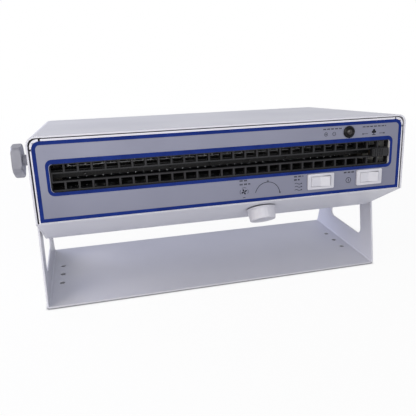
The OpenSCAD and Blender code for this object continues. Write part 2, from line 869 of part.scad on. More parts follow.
module back_panel() {
  flange_z1 = z_top - cover_t;
  color("gainsboro") in_housing() difference() {
    union() {
      to_y(y_back_in, y_back) round_top(2 * x_in, z_bot, flange_z1, cover_r - cover_t);
      box([-x_in + 20, x_in - 20], [y_back_in - 12, y_back_in], [flange_z1 - sheet_t, flange_z1]);
    }
    to_y(y_back_in - eps, y_back + eps) translate([0, z_inlet])
      square([inlet_w, inlet_h], center = true);
    mains_cutout();
    translate([fuse_x, 0, z_mains]) rod_y(y_back_in - eps, y_back + eps, fuse_d + 2 * fit);
    for (s = [-1, 1]) translate([mains_x + s * mains_screw_x, 0, z_mains])
      rod_y(y_back_in - eps, y_back + eps, back_screw_d + 2 * fit);
    for (x = back_screw_x()) translate([x, 0, z_bot + back_flange / 2])
      rod_y(y_back_in - eps, y_back + eps, back_screw_d + 2 * screw_gap);
  }
}

module inlet_grille() {
  w = inlet_w + 2 * grille_frame;
  h = inlet_h + 2 * grille_frame;
  slat_pitch = inlet_h / inlet_slats;
  posts = 6;
  color([0.13, 0.13, 0.14]) in_housing() translate([0, 0, z_inlet])
    to_y(y_back, y_back + inlet_grille_d) difference() {
      round_rect(w, h, 4);
      for (i = [0:inlet_slats - 1], k = [0:posts - 1])
        translate([(k - (posts - 1) / 2) * inlet_w / posts,
                   (i - (inlet_slats - 1) / 2) * slat_pitch])
          square([inlet_w / posts - 3, slat_pitch - 2.6], center = true);
    }
}

module inlet_filter() {
  color([0.25, 0.25, 0.27]) in_housing() translate([0, 0, z_inlet])
    box([-inlet_w / 2, inlet_w / 2], [y_back - filter_t, y_back], [-inlet_h / 2, inlet_h / 2]);
}

module filter_frame() {
  rim = 5;
  w = inlet_w / 2 + rim;
  h = inlet_h / 2 + rim;
  y1 = y_back_in;
  y0 = y_back - filter_t - 2;
  bars = 3;
  color("dimgray") in_housing() translate([0, 0, z_inlet]) difference() {
    box([-w, w], [y0, y1], [-h, h]);
    box([-inlet_w / 2, inlet_w / 2], [y_back - filter_t, y_back], [-inlet_h / 2, inlet_h / 2]);
    for (i = [0:bars - 1]) translate([(i - (bars - 1) / 2) * (inlet_w - 8) / bars, 0, 0])
      box([-(inlet_w - 8) / bars / 2 + 2, (inlet_w - 8) / bars / 2 - 2], [y0 - eps, y1 + eps],
          [-inlet_h / 2 + 3, inlet_h / 2 - 3]);
  }
}

module mains_inlet() {
  color([0.1, 0.1, 0.1]) in_housing() translate([mains_x, 0, z_mains]) difference() {
    union() {
      box([-mains_w / 2, mains_w / 2], [y_back - mains_depth, y_back], [-mains_h / 2, mains_h / 2]);
      to_y(y_back, y_back + mains_flange_t) round_rect(mains_flange_w, mains_flange_h, 6);
    }
    box([-socket_w / 2, socket_w / 2], [y_socket, y_back + mains_flange_t + eps],
        [-socket_h / 2, socket_h / 2]);
    for (s = [-1, 1]) translate([s * mains_screw_x, 0, 0])
      rod_y(y_back - eps, y_back + mains_flange_t + eps, back_screw_d + 2 * screw_gap);
  }
}

// The three flat pins of the mains inlet: line and neutral below, earth above
module inlet_pins() {
  pin_w = 2;
  pin_h = 4;
  color("gold") in_housing() translate([mains_x, 0, z_mains])
    for (p = [[-7, -2], [7, -2], [0, 2]]) translate([p[0], 0, p[1]])
      box([-pin_w / 2, pin_w / 2], [y_socket, y_socket + socket_depth - 2], [-pin_h / 2, pin_h / 2]);
}

module fuse_holder() {
  color([0.1, 0.1, 0.1]) in_housing() translate([fuse_x, 0, z_mains]) {
    rod_y(y_back - fuse_depth, y_back, fuse_d);
    rod_y(y_back, y_back + fuse_rim_t, fuse_d + 5);
    rod_y(y_back + fuse_rim_t, y_back + fuse_rim_t + fuse_cap_l, fuse_d);
  }
}

// ---------- electronics on the floor ----------

module hv_transformer() {
  color([0.15, 0.15, 0.18]) in_housing() translate([hv_x, hv_y, z_floor]) {
    translate([-hv_w / 2, -hv_d / 2, 0]) cube([hv_w, hv_d, hv_h]);
    translate([0, hv_d / 4, hv_h]) cylinder(h = 6, d = 12);
  }
}

// Strap over the transformer with a foot at each end
module transformer_clamp() {
  t = 1.2;
  w = 14;
  x = hv_w / 2;
  color("silver") in_housing() translate([hv_x, hv_y - hv_d / 4, z_floor]) {
    box([-x - t, x + t], [-w / 2, w / 2], [hv_h, hv_h + t]);
    for (s = [-1, 1]) scale([s, 1, 1]) {
      box([x, x + t], [-w / 2, w / 2], [0, hv_h]);
      box([x + t, x + t + 10], [-w / 2, w / 2], [0, t]);
    }
  }
}

module board_holes(inset, d, h) {
  for (sx = [-1, 1], sy = [-1, 1])
    translate([sx * (board_w / 2 - inset), sy * (board_d / 2 - inset), 0]) cylinder(h = h, d = d);
}

module circuit_board() {
  color("darkgreen") in_housing() translate([board_x, board_y, z_floor + board_up]) difference() {
    translate([-board_w / 2, -board_d / 2, 0]) cube([board_w, board_d, board_t]);
    translate([0, 0, -eps]) board_holes(5, 3.2, board_t + 2 * eps);
  }
}

module board_standoffs() {
  color("gold") in_housing() translate([board_x, board_y, z_floor]) {
    board_holes(5, 6, board_up);
    board_holes(5, 3.1, board_up + board_t + 1);
    translate([0, 0, board_up + board_t]) board_holes(5, 5.5, 2);
  }
}

// Relay, capacitors, terminal block and heat sink
module board_parts() {
  color("royalblue") in_housing()
    translate([board_x, board_y, z_floor + board_up + board_t]) {
      translate([-0.37 * board_w, -0.27 * board_d, 0]) cube([relay_w, relay_d, relay_h]);
      for (i = [0:capacitors - 1])
        translate([-0.05 * board_w + i * capacitor_pitch, -0.21 * board_d, 0])
          cylinder(h = capacitor_h, d = capacitor_d);
      translate([-0.33 * board_w, 0.24 * board_d, 0]) cube([terminal_w, terminal_d, terminal_h]);
      translate([0.3 * board_w, 0.05 * board_d, 0]) cube([sink_w, sink_d, sink_h]);
    }
}

module earth_stud() {
  color("gold") in_housing() translate([fuse_x, board_y, z_floor]) {
    cylinder(h = stud_l, d = stud_d);
    for (z = [0, stud_nut_t + 1]) translate([0, 0, z]) cylinder(h = stud_nut_t, d = 2 * stud_d);
  }
}

// ---------- speed control ----------

module speed_control() {
  color("dimgray") in_housing() on_chin(speed_x, speed_down) difference() {
    union() {
      translate([0, 0, -sheet_t - speed_body_l]) cylinder(h = speed_body_l, d = speed_body_d);
      translate([0, 0, -sheet_t]) cylinder(h = sheet_t + speed_bush_l, d = speed_bush_d);
    }
    translate([0, 0, -sheet_t - speed_body_l / 2])
      cylinder(h = speed_body_l + speed_bush_l, d = speed_shaft_d + 2 * fit);
  }
}

module speed_nut() {
  color("silver") in_housing() on_chin(speed_x, speed_down) difference() {
    cylinder(h = speed_nut_t, d = speed_nut_d, $fn = 6);
    translate([0, 0, -eps]) cylinder(h = speed_nut_t + 2 * eps, d = speed_bush_d + 2 * fit);
  }
}

module speed_shaft() {
  z0 = -sheet_t - speed_body_l / 2 + slide_gap;
  color("lightgray") in_housing() on_chin(speed_x, speed_down) translate([0, 0, z0])
    cylinder(h = knob_gap + speed_knob_h - 3 - z0, d = speed_shaft_d);
}

// Tapered knob with a skirt, hollow underneath, on the shaft's end
module speed_knob() {
  r = speed_knob_d / 2;
  wall = 2;
  seat = speed_bush_l + 0.6 - knob_gap;
  color("white") in_housing() on_chin(speed_x, speed_down) translate([0, 0, knob_gap])
    rotate_extrude($fn = 96) polygon([
      [r - wall, 0], [r, 0], [r, knob_skirt], [r - 0.5, knob_skirt + 0.4],
      [r - knob_taper, speed_knob_h - 1.2], [r - knob_taper - 1.2, speed_knob_h],
      [0, speed_knob_h], [0, speed_knob_h - 3 + slide_gap],
      [speed_shaft_d / 2 + fit, speed_knob_h - 3 + slide_gap], [speed_shaft_d / 2 + fit, seat],
      [speed_shaft_d / 2 + 3, seat], [speed_shaft_d / 2 + 3, speed_knob_h - 3],
      [r - wall - knob_taper, speed_knob_h - 3]]);
}

// ---------- switches ----------

// Places a switch: origin on the panel's face, Z out of the panel, X right, Y up
module at_switch(x) {
  in_housing() translate([x, y_face, z_switch]) rotate([90, 0, 0]) children();
}

module switch_housing(x) {
  at_switch(x) difference() {
    union() {
      linear_extrude(bezel_t) round_rect(bezel_w, bezel_h, 1.5);
      translate([-switch_body_w / 2, -switch_body_h / 2, -switch_body_d])
        cube([switch_body_w, switch_body_h, switch_body_d]);
    }
    // the rocker swings in a drum-shaped well
    intersection() {
      translate([0, 0, -rocker_axis_in]) rotate([90, 0, 0])
        cylinder(h = rocker_h + 2 * rocker_gap, r = rocker_r + rocker_gap, center = true, $fn = 96);
      translate([-rocker_r - 1, -rocker_h, -rocker_axis_in - 7])
        cube([2 * rocker_r + 2, 2 * rocker_h, 30]);
    }
    translate([0, 0, -rocker_axis_in]) rotate([90, 0, 0])
      cylinder(h = rocker_h + 2 * rocker_pin_l + 0.4, d = rocker_pin_d + 2 * fit, center = true);
  }
}

// Rocker tipped to one side: its V-shaped top is highest at the right-hand end
module rocker(x) {
  at_switch(x) translate([0, 0, -rocker_axis_in]) rotate([0, -rocker_swing, 0]) {
    intersection() {
      rotate([90, 0, 0])
        cylinder(h = rocker_h, r = rocker_r, center = true, $fn = 96);
      rotate([90, 0, 0]) linear_extrude(rocker_h, center = true) polygon([
        [-rocker_r, -3], [-rocker_r * 0.6, -5], [rocker_r * 0.6, -5], [rocker_r, -3],
        [rocker_r, rocker_axis_in + bezel_t + rocker_rise],
        [0, rocker_axis_in + bezel_t - 0.3],
        [-rocker_r, rocker_axis_in + bezel_t + rocker_rise]]);
    }
    rotate([90, 0, 0]) cylinder(h = rocker_h + 2 * rocker_pin_l, d = rocker_pin_d, center = true);
  }
}

module power_switch() {
  color("white") switch_housing(power_switch_x);
}

module heat_switch() {
  color("white") switch_housing(heat_switch_x);
}

module power_rocker() {
  color("whitesmoke") rocker(power_switch_x);
}

module heat_rocker() {
  color("whitesmoke") rocker(heat_switch_x);
}

// ---------- lamp ----------

module at_lamp() {
  in_housing() translate([lamp_x, y_face, z_lamp]) rotate([90, 0, 0]) children();
}

module lamp_bezel() {
  r = lamp_d / 2;
  bore = lamp_hole_d() / 2 - 1.2;
  color([0.08, 0.08, 0.09]) at_lamp() rotate_extrude($fn = 96) polygon([
    [bore, -12], [lamp_hole_d() / 2 - 0.1, -12], [lamp_hole_d() / 2 - 0.1, 0], [r, 0],
    [r, 1.2], [r - 1.2, 2.6], [bore + 0.8, 2.6], [bore, 1.8]]);
}

module lamp_lens() {
  r = lamp_hole_d() / 2 - 1.2 - fit;
  color([0.25, 0.05, 0.05]) at_lamp() rotate_extrude($fn = 96) polygon(concat(
    [[0, -8], [r, -8], [r, 1.6]], [for (a = [15:15:90]) [r * cos(a), 1.6 + 1.4 * sin(a)]]));
}

module lamp_nut() {
  color("silver") at_lamp() translate([0, 0, -panel_t - 2]) difference() {
    cylinder(h = 2, d = lamp_d, $fn = 6);
    translate([0, 0, -eps]) cylinder(h = 4, d = lamp_hole_d() - 0.2 + 2 * fit);
  }
}

// ---------- clamp knobs ----------

// Grip with flat faces and a bevelled rim, on a round hub
module clamp_knob() {
  x0 = x_arm + stand_t + fit;
  x1 = x0 + clamp_hub_l;
  r = clamp_d / 2;
  corner = r / cos(180 / clamp_faces);
  rim = corner - clamp_blunt;
  difference() {
    union() {
      rod_x(x0, x1 + 1, clamp_hub_d);
      translate([x1, 0, 0]) rotate([0, 90, 0]) intersection() {
        rotate([0, 0, clamp_turn]) cylinder(h = clamp_t, r = corner, $fn = clamp_faces);
        rotate_extrude($fn = 96) polygon([
          [0, 0], [rim - clamp_bevel, 0], [rim, clamp_bevel], [rim, clamp_t - clamp_bevel],
          [rim - clamp_bevel, clamp_t], [0, clamp_t]]);
      }
    }
    rod_x(x0 - eps, x1 + clamp_t - 4, clamp_screw_d + 2 * fit);
  }
}

module clamp_screw() {
  rod_x(x_in - nut_l - 4, x_arm + stand_t + clamp_hub_l + clamp_t - 4, clamp_screw_d);
}

module clamp_knob_left() {
  color("darkgray") in_housing() mirror([1, 0, 0]) clamp_knob();
}

module clamp_screw_left() {
  color("silver") in_housing() mirror([1, 0, 0]) clamp_screw();
}

module clamp_knob_right() {
  color("darkgray") in_housing() clamp_knob();
}

module clamp_screw_right() {
  color("silver") in_housing() clamp_screw();
}

module pivot_nuts() {
  color("silver") in_housing() both_sides() difference() {
    rod_x(x_in - nut_l, x_in, nut_d);
    rod_x(x_in - nut_l - eps, x_in + eps, clamp_screw_d + 2 * fit);
  }
}

// ---------- screws ----------

// Pan-head screw along +Z with its head's underside at the origin
module pan_screw(d, head_d, head_t, l) {
  translate([0, 0, -l]) cylinder(h = l, d = d);
  rotate_extrude() polygon([[0, 0], [head_d / 2, 0], [head_d / 2, head_t * 0.4],
    [head_d / 2 - head_t * 0.5, head_t], [0, head_t]]);
}

module cover_screws() {
  color("silver") in_housing() both_sides() for (y = cover_screw_y)
    translate([x_side, y, z_bot + cover_screw_up]) rotate([0, 90, 0])
      pan_screw(cover_screw_d, cover_head_d, cover_head_t, cover_t + sheet_t + screw_past);
}

module back_screws() {
  color("silver") in_housing() for (x = back_screw_x())
    translate([x, y_back, z_bot + back_flange / 2]) rotate([-90, 0, 0])
      pan_screw(back_screw_d, back_head_d, back_head_t, 2 * sheet_t + screw_past);
}

module mains_screws() {
  color("silver") in_housing() for (s = [-1, 1])
    translate([mains_x + s * mains_screw_x, y_back + mains_flange_t, z_mains])
      rotate([-90, 0, 0])
        pan_screw(back_screw_d, back_head_d, back_head_t, mains_flange_t + sheet_t + screw_past);
}

stand_bracket();
spacer_washers();
top_cover();
chassis_tray();
front_panel();
back_panel();
outlet_duct();
duct_ramp();
duct_blanks();
duct_roof();
outlet_grille();
emitter_bar();
emitter_needles();
cleaner_slider();
cleaner_brush();
heater_core();
heater_fins();
heater_holders();
scroll_back();
scroll_tongue();
fan_end_plate_left();
fan_end_plate_right();
fan_bush();
fan_wheel();
fan_shaft();
motor_stator();
motor_coil();
motor_bracket();
motor_rotor();
inlet_grille();
inlet_filter();
filter_frame();
mains_inlet();
inlet_pins();
fuse_holder();
hv_transformer();
transformer_clamp();
circuit_board();
board_parts();
board_standoffs();
earth_stud();
speed_control();
speed_nut();
speed_shaft();
speed_knob();
power_switch();
heat_switch();
power_rocker();
heat_rocker();
lamp_bezel();
lamp_lens();
lamp_nut();
clamp_knob_left();
clamp_screw_left();
clamp_knob_right();
clamp_screw_right();
pivot_nuts();
cover_screws();
back_screws();
mains_screws();
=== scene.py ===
# %% [markdown]
# # An ionizing blower on the bench
#
# This lesson dresses a finished CAD model of an ionizing blower: a folded steel housing that leans
# back in a U-shaped stand, with a wide outlet at the front. The CAD model is the fixed frame. Blender
# adds what a drawing leaves out: paint, printed ink, moulded plastic, plated metal, light and a camera.

# %% Load the frame
import json
import math

import bmesh
import bpy
import numpy as np
from mathutils import Matrix, Vector


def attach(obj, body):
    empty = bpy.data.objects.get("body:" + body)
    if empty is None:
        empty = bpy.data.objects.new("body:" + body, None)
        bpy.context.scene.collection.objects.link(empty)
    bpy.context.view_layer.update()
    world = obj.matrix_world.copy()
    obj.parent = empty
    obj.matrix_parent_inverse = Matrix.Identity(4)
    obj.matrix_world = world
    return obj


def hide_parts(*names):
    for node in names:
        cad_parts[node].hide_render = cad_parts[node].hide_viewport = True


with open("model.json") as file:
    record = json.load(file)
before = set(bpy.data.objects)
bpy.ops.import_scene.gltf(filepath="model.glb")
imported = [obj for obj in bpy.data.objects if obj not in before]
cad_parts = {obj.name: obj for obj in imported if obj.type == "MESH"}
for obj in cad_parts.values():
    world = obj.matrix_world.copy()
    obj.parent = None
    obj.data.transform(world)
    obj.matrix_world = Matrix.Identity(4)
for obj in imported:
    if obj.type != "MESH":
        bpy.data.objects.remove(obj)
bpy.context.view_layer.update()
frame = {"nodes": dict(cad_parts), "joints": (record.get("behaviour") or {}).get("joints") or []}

# %% [markdown]
# ## The camera
#
# A camera stands a little above the housing, left of its middle, and close: the near edges splay apart.
# It is turned by three angles: yaw to the right, pitch down, and a slight roll. Building the
# turn as a product of three rotations keeps each angle readable, which a look-at constraint would hide.

# %% Place the camera
CAMERA_PLACE = Vector((-0.146583, -0.574661, 0.29739))
YAW, PITCH, ROLL = 0.251529, -0.360240, -0.011910
SENSOR_MM, LENS_MM = 36.0, 40.284
NEAREST_M, FARTHEST_M = 0.01, 50.0

camera = bpy.data.objects.new("camera", bpy.data.cameras.new("camera"))
camera.data.sensor_width = SENSOR_MM
camera.data.lens = LENS_MM
camera.data.clip_start = NEAREST_M
camera.data.clip_end = FARTHEST_M
turn = (Matrix.Rotation(-YAW, 4, "Z") @ Matrix.Rotation(math.pi / 2 + PITCH, 4, "X")
        @ Matrix.Rotation(ROLL, 4, "Z"))
camera.matrix_world = Matrix.Translation(CAMERA_PLACE) @ turn
bpy.context.scene.collection.objects.link(camera)
bpy.context.scene.camera = camera
bpy.context.scene.view_settings.view_transform = "Standard"
print("camera looks along", [round(v, 3) for v in turn @ Vector((0, 0, -1))])

# %% [markdown]
# ## Millimetres along the housing
#
# The housing leans back, so its front isn't upright in the world. Everything printed or fitted on it is
# easier to place along its own three directions. The frame's joints give them: the tilt axis is the
# origin, and the rockers turn about the housing's upright.

# %% Axes of the housing
MM = 0.001
joints = {joint["name"]: joint for joint in frame["joints"]}
PIVOT = np.array(joints["housing_tilt"]["pos_m"])
RIGHT = np.array([1.0, 0.0, 0.0])
UP = np.array(joints["power_rock"]["axis"])
BACK = np.cross(UP, RIGHT)


def housed(x, y, z):
    """Millimetres right, back and up from the tilt axis, as metres: pivot + x right + y back + z up."""
    x, y, z = np.broadcast_arrays(*(np.asarray(v, float) for v in (x, y, z)))
    return PIVOT + MM * (x[..., None] * RIGHT + y[..., None] * BACK + z[..., None] * UP)


def reach(node):
    """Lowest and highest corner of a CAD node along the housing's directions, in millimetres."""
    mesh = frame["nodes"][node].data
    points = np.empty(len(mesh.vertices) * 3)
    mesh.vertices.foreach_get("co", points)
    local = (points.reshape(-1, 3) - PIVOT) / MM @ np.column_stack([RIGHT, BACK, UP])
    return local.min(axis=0), local.max(axis=0)


panel_low, panel_high = reach("front_panel")
FACE_Y = panel_low[1]
print("front panel spans", np.round(panel_low, 1), "to", np.round(panel_high, 1))

# %% [markdown]
# ## Colours and nodes
#
# Paint charts and colour pickers give sRGB codes, while Blender's shaders count in linear light, so one
# function turns a hex code into linear numbers. A second small function adds a node, sets its options and
# links or fills its inputs. Everything else about a material is then a list of such calls. A colour Mix
# node has sockets for several kinds of value, so the ones for colour are named by their numbers.


# %% Helpers for materials
MIX_FACTOR, MIX_UNDER, MIX_OVER, MIX_RESULT = 0, 6, 7, 2
FACES_LEFT = 0.7


def colour(code):
    """sRGB hex code to linear RGBA: below 0.04045 divide by 12.92, else ((c + 0.055) / 1.055) ** 2.4."""
    parts = [int(code[i:i + 2], 16) / 255 for i in (1, 3, 5)]
    return tuple(c / 12.92 if c <= 0.04045 else ((c + 0.055) / 1.055) ** 2.4 for c in parts) + (1.0,)


def add(tree, kind, settings=None, inputs=None):
    """Adds one node: settings are its options, and inputs are sockets to link or values to set."""
    node = tree.nodes.new("ShaderNode" + kind)
    for option, value in (settings or {}).items():
        setattr(node, option, value)
    for socket, value in (inputs or {}).items():
        if isinstance(value, bpy.types.NodeSocket):
            tree.links.new(value, node.inputs[socket])
        else:
            node.inputs[socket].default_value = value
    return node


def start(name):
    """An empty node material with its output: gives the material, its tree and the output node."""
    material = bpy.data.materials.new(name)
    material.use_nodes = True
    tree = material.node_tree
    tree.nodes.clear()
    return material, tree, add(tree, "OutputMaterial")


def sights(tree):
    """1 for rays that only look, 0 for rays that carry light: camera + glossy + transmission, clamped."""
    path = add(tree, "LightPath").outputs
    both = add(tree, "Math", {"operation": "ADD"}, {0: path["Is Camera Ray"], 1: path["Is Glossy Ray"]})
    return add(tree, "Math", {"operation": "ADD", "use_clamp": True},
               {0: both.outputs[0], 1: path["Is Transmission Ray"]}).outputs[0]


def facing(tree, direction):
    """How squarely a surface faces a direction: the true normal's dot product with it, -1 to 1."""
    normal = add(tree, "NewGeometry").outputs["True Normal"]
    along = add(tree, "VectorMath", {"operation": "DOT_PRODUCT"}, {0: normal, 1: tuple(direction)})
    return along.outputs["Value"]


# %% [markdown]
# ## One recipe for most surfaces
#
# Real surfaces are never one flat colour. Paint and plastic drift between two close shades over some
# centimetres, their gloss is uneven, and a fine grain breaks up the highlights. One recipe covers that:
# a broad noise mixes two shades and moves the roughness, and a fine noise makes a bump whose
# depth is given in millimetres. Stretching the fine noise along one axis turns grain into brushing.
# The four numbers after the shades are the patch in mm, the roughness, the grain in mm and its depth
# in mm.


# %% The recipe
BROAD_DETAIL, FINE_DETAIL = 3.0, 2.0
SHADE_FROM, SHADE_TO = 0.35, 0.65
GLOSS_FROM, GLOSS_TO = 0.3, 0.7
RUB_HIGHLIGHT_SAMPLES, RUB_HIGHLIGHT_FROM, RUB_HIGHLIGHT_TO = 6, 0.99, 0.85


def finish(name, light, dark, patch_mm, rough, grain_mm, relief_mm, metallic=0.0, stretch=(1, 1, 1),
           coat=0.0, spread=0.06, gleam=0.5):
    """Principled surface: shade = mix(light, dark, noise of patch_mm), gloss = rough +- spread."""
    material, tree, output = start(name)
    place = add(tree, "TexCoord").outputs["Object"]
    broad = add(tree, "TexNoise", None,
                {"Vector": place, "Scale": 1 / (patch_mm * MM), "Detail": BROAD_DETAIL})
    lean = add(tree, "MapRange", None,
               {"Value": broad.outputs[0], "From Min": SHADE_FROM, "From Max": SHADE_TO})
    shade = add(tree, "Mix", {"data_type": "RGBA"},
                {MIX_FACTOR: lean.outputs[0], MIX_UNDER: colour(light), MIX_OVER: colour(dark)})
    gloss = add(tree, "MapRange", None,
                {"Value": broad.outputs[0], "From Min": GLOSS_FROM, "From Max": GLOSS_TO,
                 "To Min": rough - spread, "To Max": rough + spread})
    stretched = add(tree, "Mapping", None, {"Vector": place, "Scale": [1 / s for s in stretch]})
    fine = add(tree, "TexNoise", None,
               {"Vector": stretched.outputs[0], "Scale": 1 / (grain_mm * MM), "Detail": FINE_DETAIL})
    bump = add(tree, "Bump", None, {"Height": fine.outputs[0], "Distance": relief_mm * MM})
    shader = add(tree, "BsdfPrincipled", None,
                 {"Base Color": shade.outputs[MIX_RESULT], "Roughness": gloss.outputs[0],
                  "Normal": bump.outputs[0], "Metallic": metallic, "Coat Weight": coat,
                  "Specular IOR Level": gleam})
    tree.links.new(shader.outputs[0], output.inputs[0])
    material.diffuse_color = colour(light)
    return {"material": material, "tree": tree, "place": place, "bump": bump, "shader": shader}


def recolour(made, factor, code, strength=1.0):
    """Lays a second colour over a finish where factor is high: colour = mix(colour, code, factor)."""
    tree, shader = made["tree"], made["shader"]
    under = shader.inputs["Base Color"].links[0].from_socket
    amount = add(tree, "Math", {"operation": "MULTIPLY", "use_clamp": True}, {0: factor, 1: strength})
    over = add(tree, "Mix", {"data_type": "RGBA"},
               {MIX_FACTOR: amount.outputs[0], MIX_UNDER: under, MIX_OVER: colour(code)})
    tree.links.new(over.outputs[MIX_RESULT], shader.inputs["Base Color"])


def rub_and_highlight_edges(made, width_mm, code, strength):
    """Paints a paler colour at a finish's edges, partly rubbing, partly a painted highlight: where the
    rounded normal's dot product with the plain falls.
    """
    tree = made["tree"]
    rounded = add(tree, "Bevel", {"samples": RUB_HIGHLIGHT_SAMPLES}, {"Radius": width_mm * MM})
    plain = add(tree, "NewGeometry")
    along = add(tree, "VectorMath", {"operation": "DOT_PRODUCT"},
                {0: rounded.outputs[0], 1: plain.outputs["Normal"]})
    edge = add(tree, "MapRange", None,
               {"Value": along.outputs["Value"], "From Min": RUB_HIGHLIGHT_FROM, "From Max": RUB_HIGHLIGHT_TO})
    tree.links.new(rounded.outputs[0], made["bump"].inputs["Normal"])
    recolour(made, edge.outputs[0], code, strength)


def dress(made, *nodes):
    """Gives a finish to CAD nodes or new pieces by way of their material slots."""
    for node in nodes:
        mesh = (frame["nodes"][node] if isinstance(node, str) else node).data
        mesh.materials.clear()
        mesh.materials.append(made["material"])
        mesh.polygons.foreach_set("material_index", np.zeros(len(mesh.polygons), dtype=np.int32))
    print(made["material"].name, "on", len(nodes), "pieces")


# %% [markdown]
# ## Powder-coated sheet
#
# The stand, the wrap-round cover, the chassis and the back are bent steel, sprayed with dry powder
# and baked. The coat melts into a skin that is smooth from afar and faintly dimpled close up, like orange
# peel. It is a light grey with a lilac cast. The dimples are about 1 mm across on the real
# sheet; here they are 3 mm, because finer ones vanish at this distance. Sharp folds are painted paler,
# partly as rubbing and partly as a painted highlight, and what lies deep in a hole or a seam is painted
# dark as shade.

# %% Powder coat
CREVICE_SHADE_SAMPLES, CREVICE_SHADE_MM, CREVICE_SHADE_FROM, CREVICE_SHADE_TO = 4, 8, 0.45, 0.2
powder_coat = finish("powder coat light grey", "#cdced6", "#c9cad2", 140, 0.46, 3.0, 0.012)
# painted shade: the coat is darkened where ambient occlusion finds walls within a few millimetres
hollow = add(powder_coat["tree"], "AmbientOcclusion", {"samples": CREVICE_SHADE_SAMPLES},
             {"Distance": CREVICE_SHADE_MM * MM})
painted_crevice_shade = add(powder_coat["tree"], "MapRange", None,
              {"Value": hollow.outputs["AO"], "From Min": CREVICE_SHADE_FROM, "From Max": CREVICE_SHADE_TO})
recolour(powder_coat, painted_crevice_shade.outputs[0], "#4c4c54", 0.85)
# paler folds: partly rubbed wear, partly a painted highlight where the edges catch light
rub_and_highlight_edges(powder_coat, 1.2, "#dcdce4", 0.6)
dress(powder_coat, "stand_bracket", "top_cover", "chassis_tray", "back_panel")

# %% [markdown]
# ## Satin silver front
#
# The front panel is the same painted sheet, and a silver-pigmented film is stuck on its face, just inside
# its folds. The film is matt with a faint sideways brushing that stretches highlights. A partly metallic
# Principled surface gives the pigment's glint, and noise stretched forty times along X the brushing. The
# film could be a sheet of its own; here one material lays it over the paint wherever the
# surface faces the front and lies inside the film's edge, measured on the upright of the housing. Cut
# edges and folds that look away from the front are painted near-black as shade, like the dark at the
# outlet's cut edge. Those that look left keep the light paint, such as the cut at the outlet's right end.

# %% Silver film over paint
FILM_RIM_SIDE, FILM_RIM_TOP, FILM_RIM_LOW = 2.6, 3.2, 1.6
FACES_FRONT, LOOKS_AWAY, PIGMENT = 0.95, 0.5, 0.35
silver_film = finish("silver film on painted sheet", "#77798a", "#707283", 120, 0.4, 1.6, 0.01,
                     stretch=(40, 1, 1))
tree = silver_film["tree"]
place = add(tree, "SeparateXYZ", None, {0: silver_film["place"]}).outputs
aside = add(tree, "Math", {"operation": "ABSOLUTE"}, {0: place["X"]})
rise = add(tree, "VectorMath", {"operation": "DOT_PRODUCT"}, {0: silver_film["place"], 1: tuple(UP)})
lift = float(PIVOT @ UP)
inside = [add(tree, "Math", {"operation": "LESS_THAN"},
              {0: aside.outputs[0], 1: (panel_high[0] - FILM_RIM_SIDE) * MM}).outputs[0],
          add(tree, "Math", {"operation": "LESS_THAN"},
              {0: rise.outputs["Value"], 1: lift + (panel_high[2] - FILM_RIM_TOP) * MM}).outputs[0],
          add(tree, "Math", {"operation": "GREATER_THAN"},
              {0: rise.outputs["Value"], 1: lift + (panel_low[2] + FILM_RIM_LOW) * MM}).outputs[0],
          add(tree, "Math", {"operation": "GREATER_THAN"},
              {0: facing(tree, -BACK), 1: FACES_FRONT}).outputs[0]]
film = inside[0]
for mask in inside[1:]:
    film = add(tree, "Math", {"operation": "MULTIPLY"}, {0: film, 1: mask}).outputs[0]
paint = add(tree, "Math", {"operation": "SUBTRACT"}, {0: 1.0, 1: film})
away = add(tree, "Math", {"operation": "LESS_THAN"}, {0: facing(tree, -BACK), 1: LOOKS_AWAY})
not_left = add(tree, "Math", {"operation": "LESS_THAN"}, {0: facing(tree, -RIGHT), 1: FACES_LEFT})
painted_cut_shade = add(tree, "Math", {"operation": "MULTIPLY"}, {0: away.outputs[0], 1: not_left.outputs[0]})
glint = add(tree, "Math", {"operation": "MULTIPLY"}, {0: film, 1: PIGMENT})
tree.links.new(glint.outputs[0], silver_film["shader"].inputs["Metallic"])
recolour(silver_film, paint.outputs[0], "#d2d2da")
# painted shade: near-black on cut edges and folds that look away from the front
recolour(silver_film, painted_cut_shade.outputs[0], "#1c1c20")
dress(silver_film, "front_panel")

# %% [markdown]
# ## Moulded plastics
#
# ABS is the usual plastic for grilles, switches and knobs. It leaves the mould with a soft
# sheen; dark parts show a spark-eroded grain, and white ones are nearly glossy. The washers are nylon
# and the cleaner's slider is ABS too. The bar that carries the needles is coloured black as painted
# shade, so that the slot inside the outlet reads dark. Sharp edges of the ABS parts get a paler colour
# as a painted highlight.
# Each is the same recipe with its own shades, gloss and grain.

# %% Plastics
black_abs = finish("ABS black moulded", "#19191d", "#131316", 25, 0.55, 1.2, 0.02, gleam=0.3)
# paler edges on the black mouldings: a painted highlight
rub_and_highlight_edges(black_abs, 0.4, "#34343a", 0.6)
black_gloss = finish("ABS black polished", "#0c0c10", "#09090c", 20, 0.34, 1.5, 0.004, gleam=0.15)
white_abs = finish("ABS white moulded", "#c6c6cd", "#bebec6", 18, 0.34, 1.5, 0.008, gleam=0.4)
# paler edges on the white mouldings: a painted highlight
rub_and_highlight_edges(white_abs, 0.4, "#d4d4da", 0.5)
grey_abs = finish("ABS grey moulded", "#8c8d96", "#83848d", 22, 0.46, 1.2, 0.02)
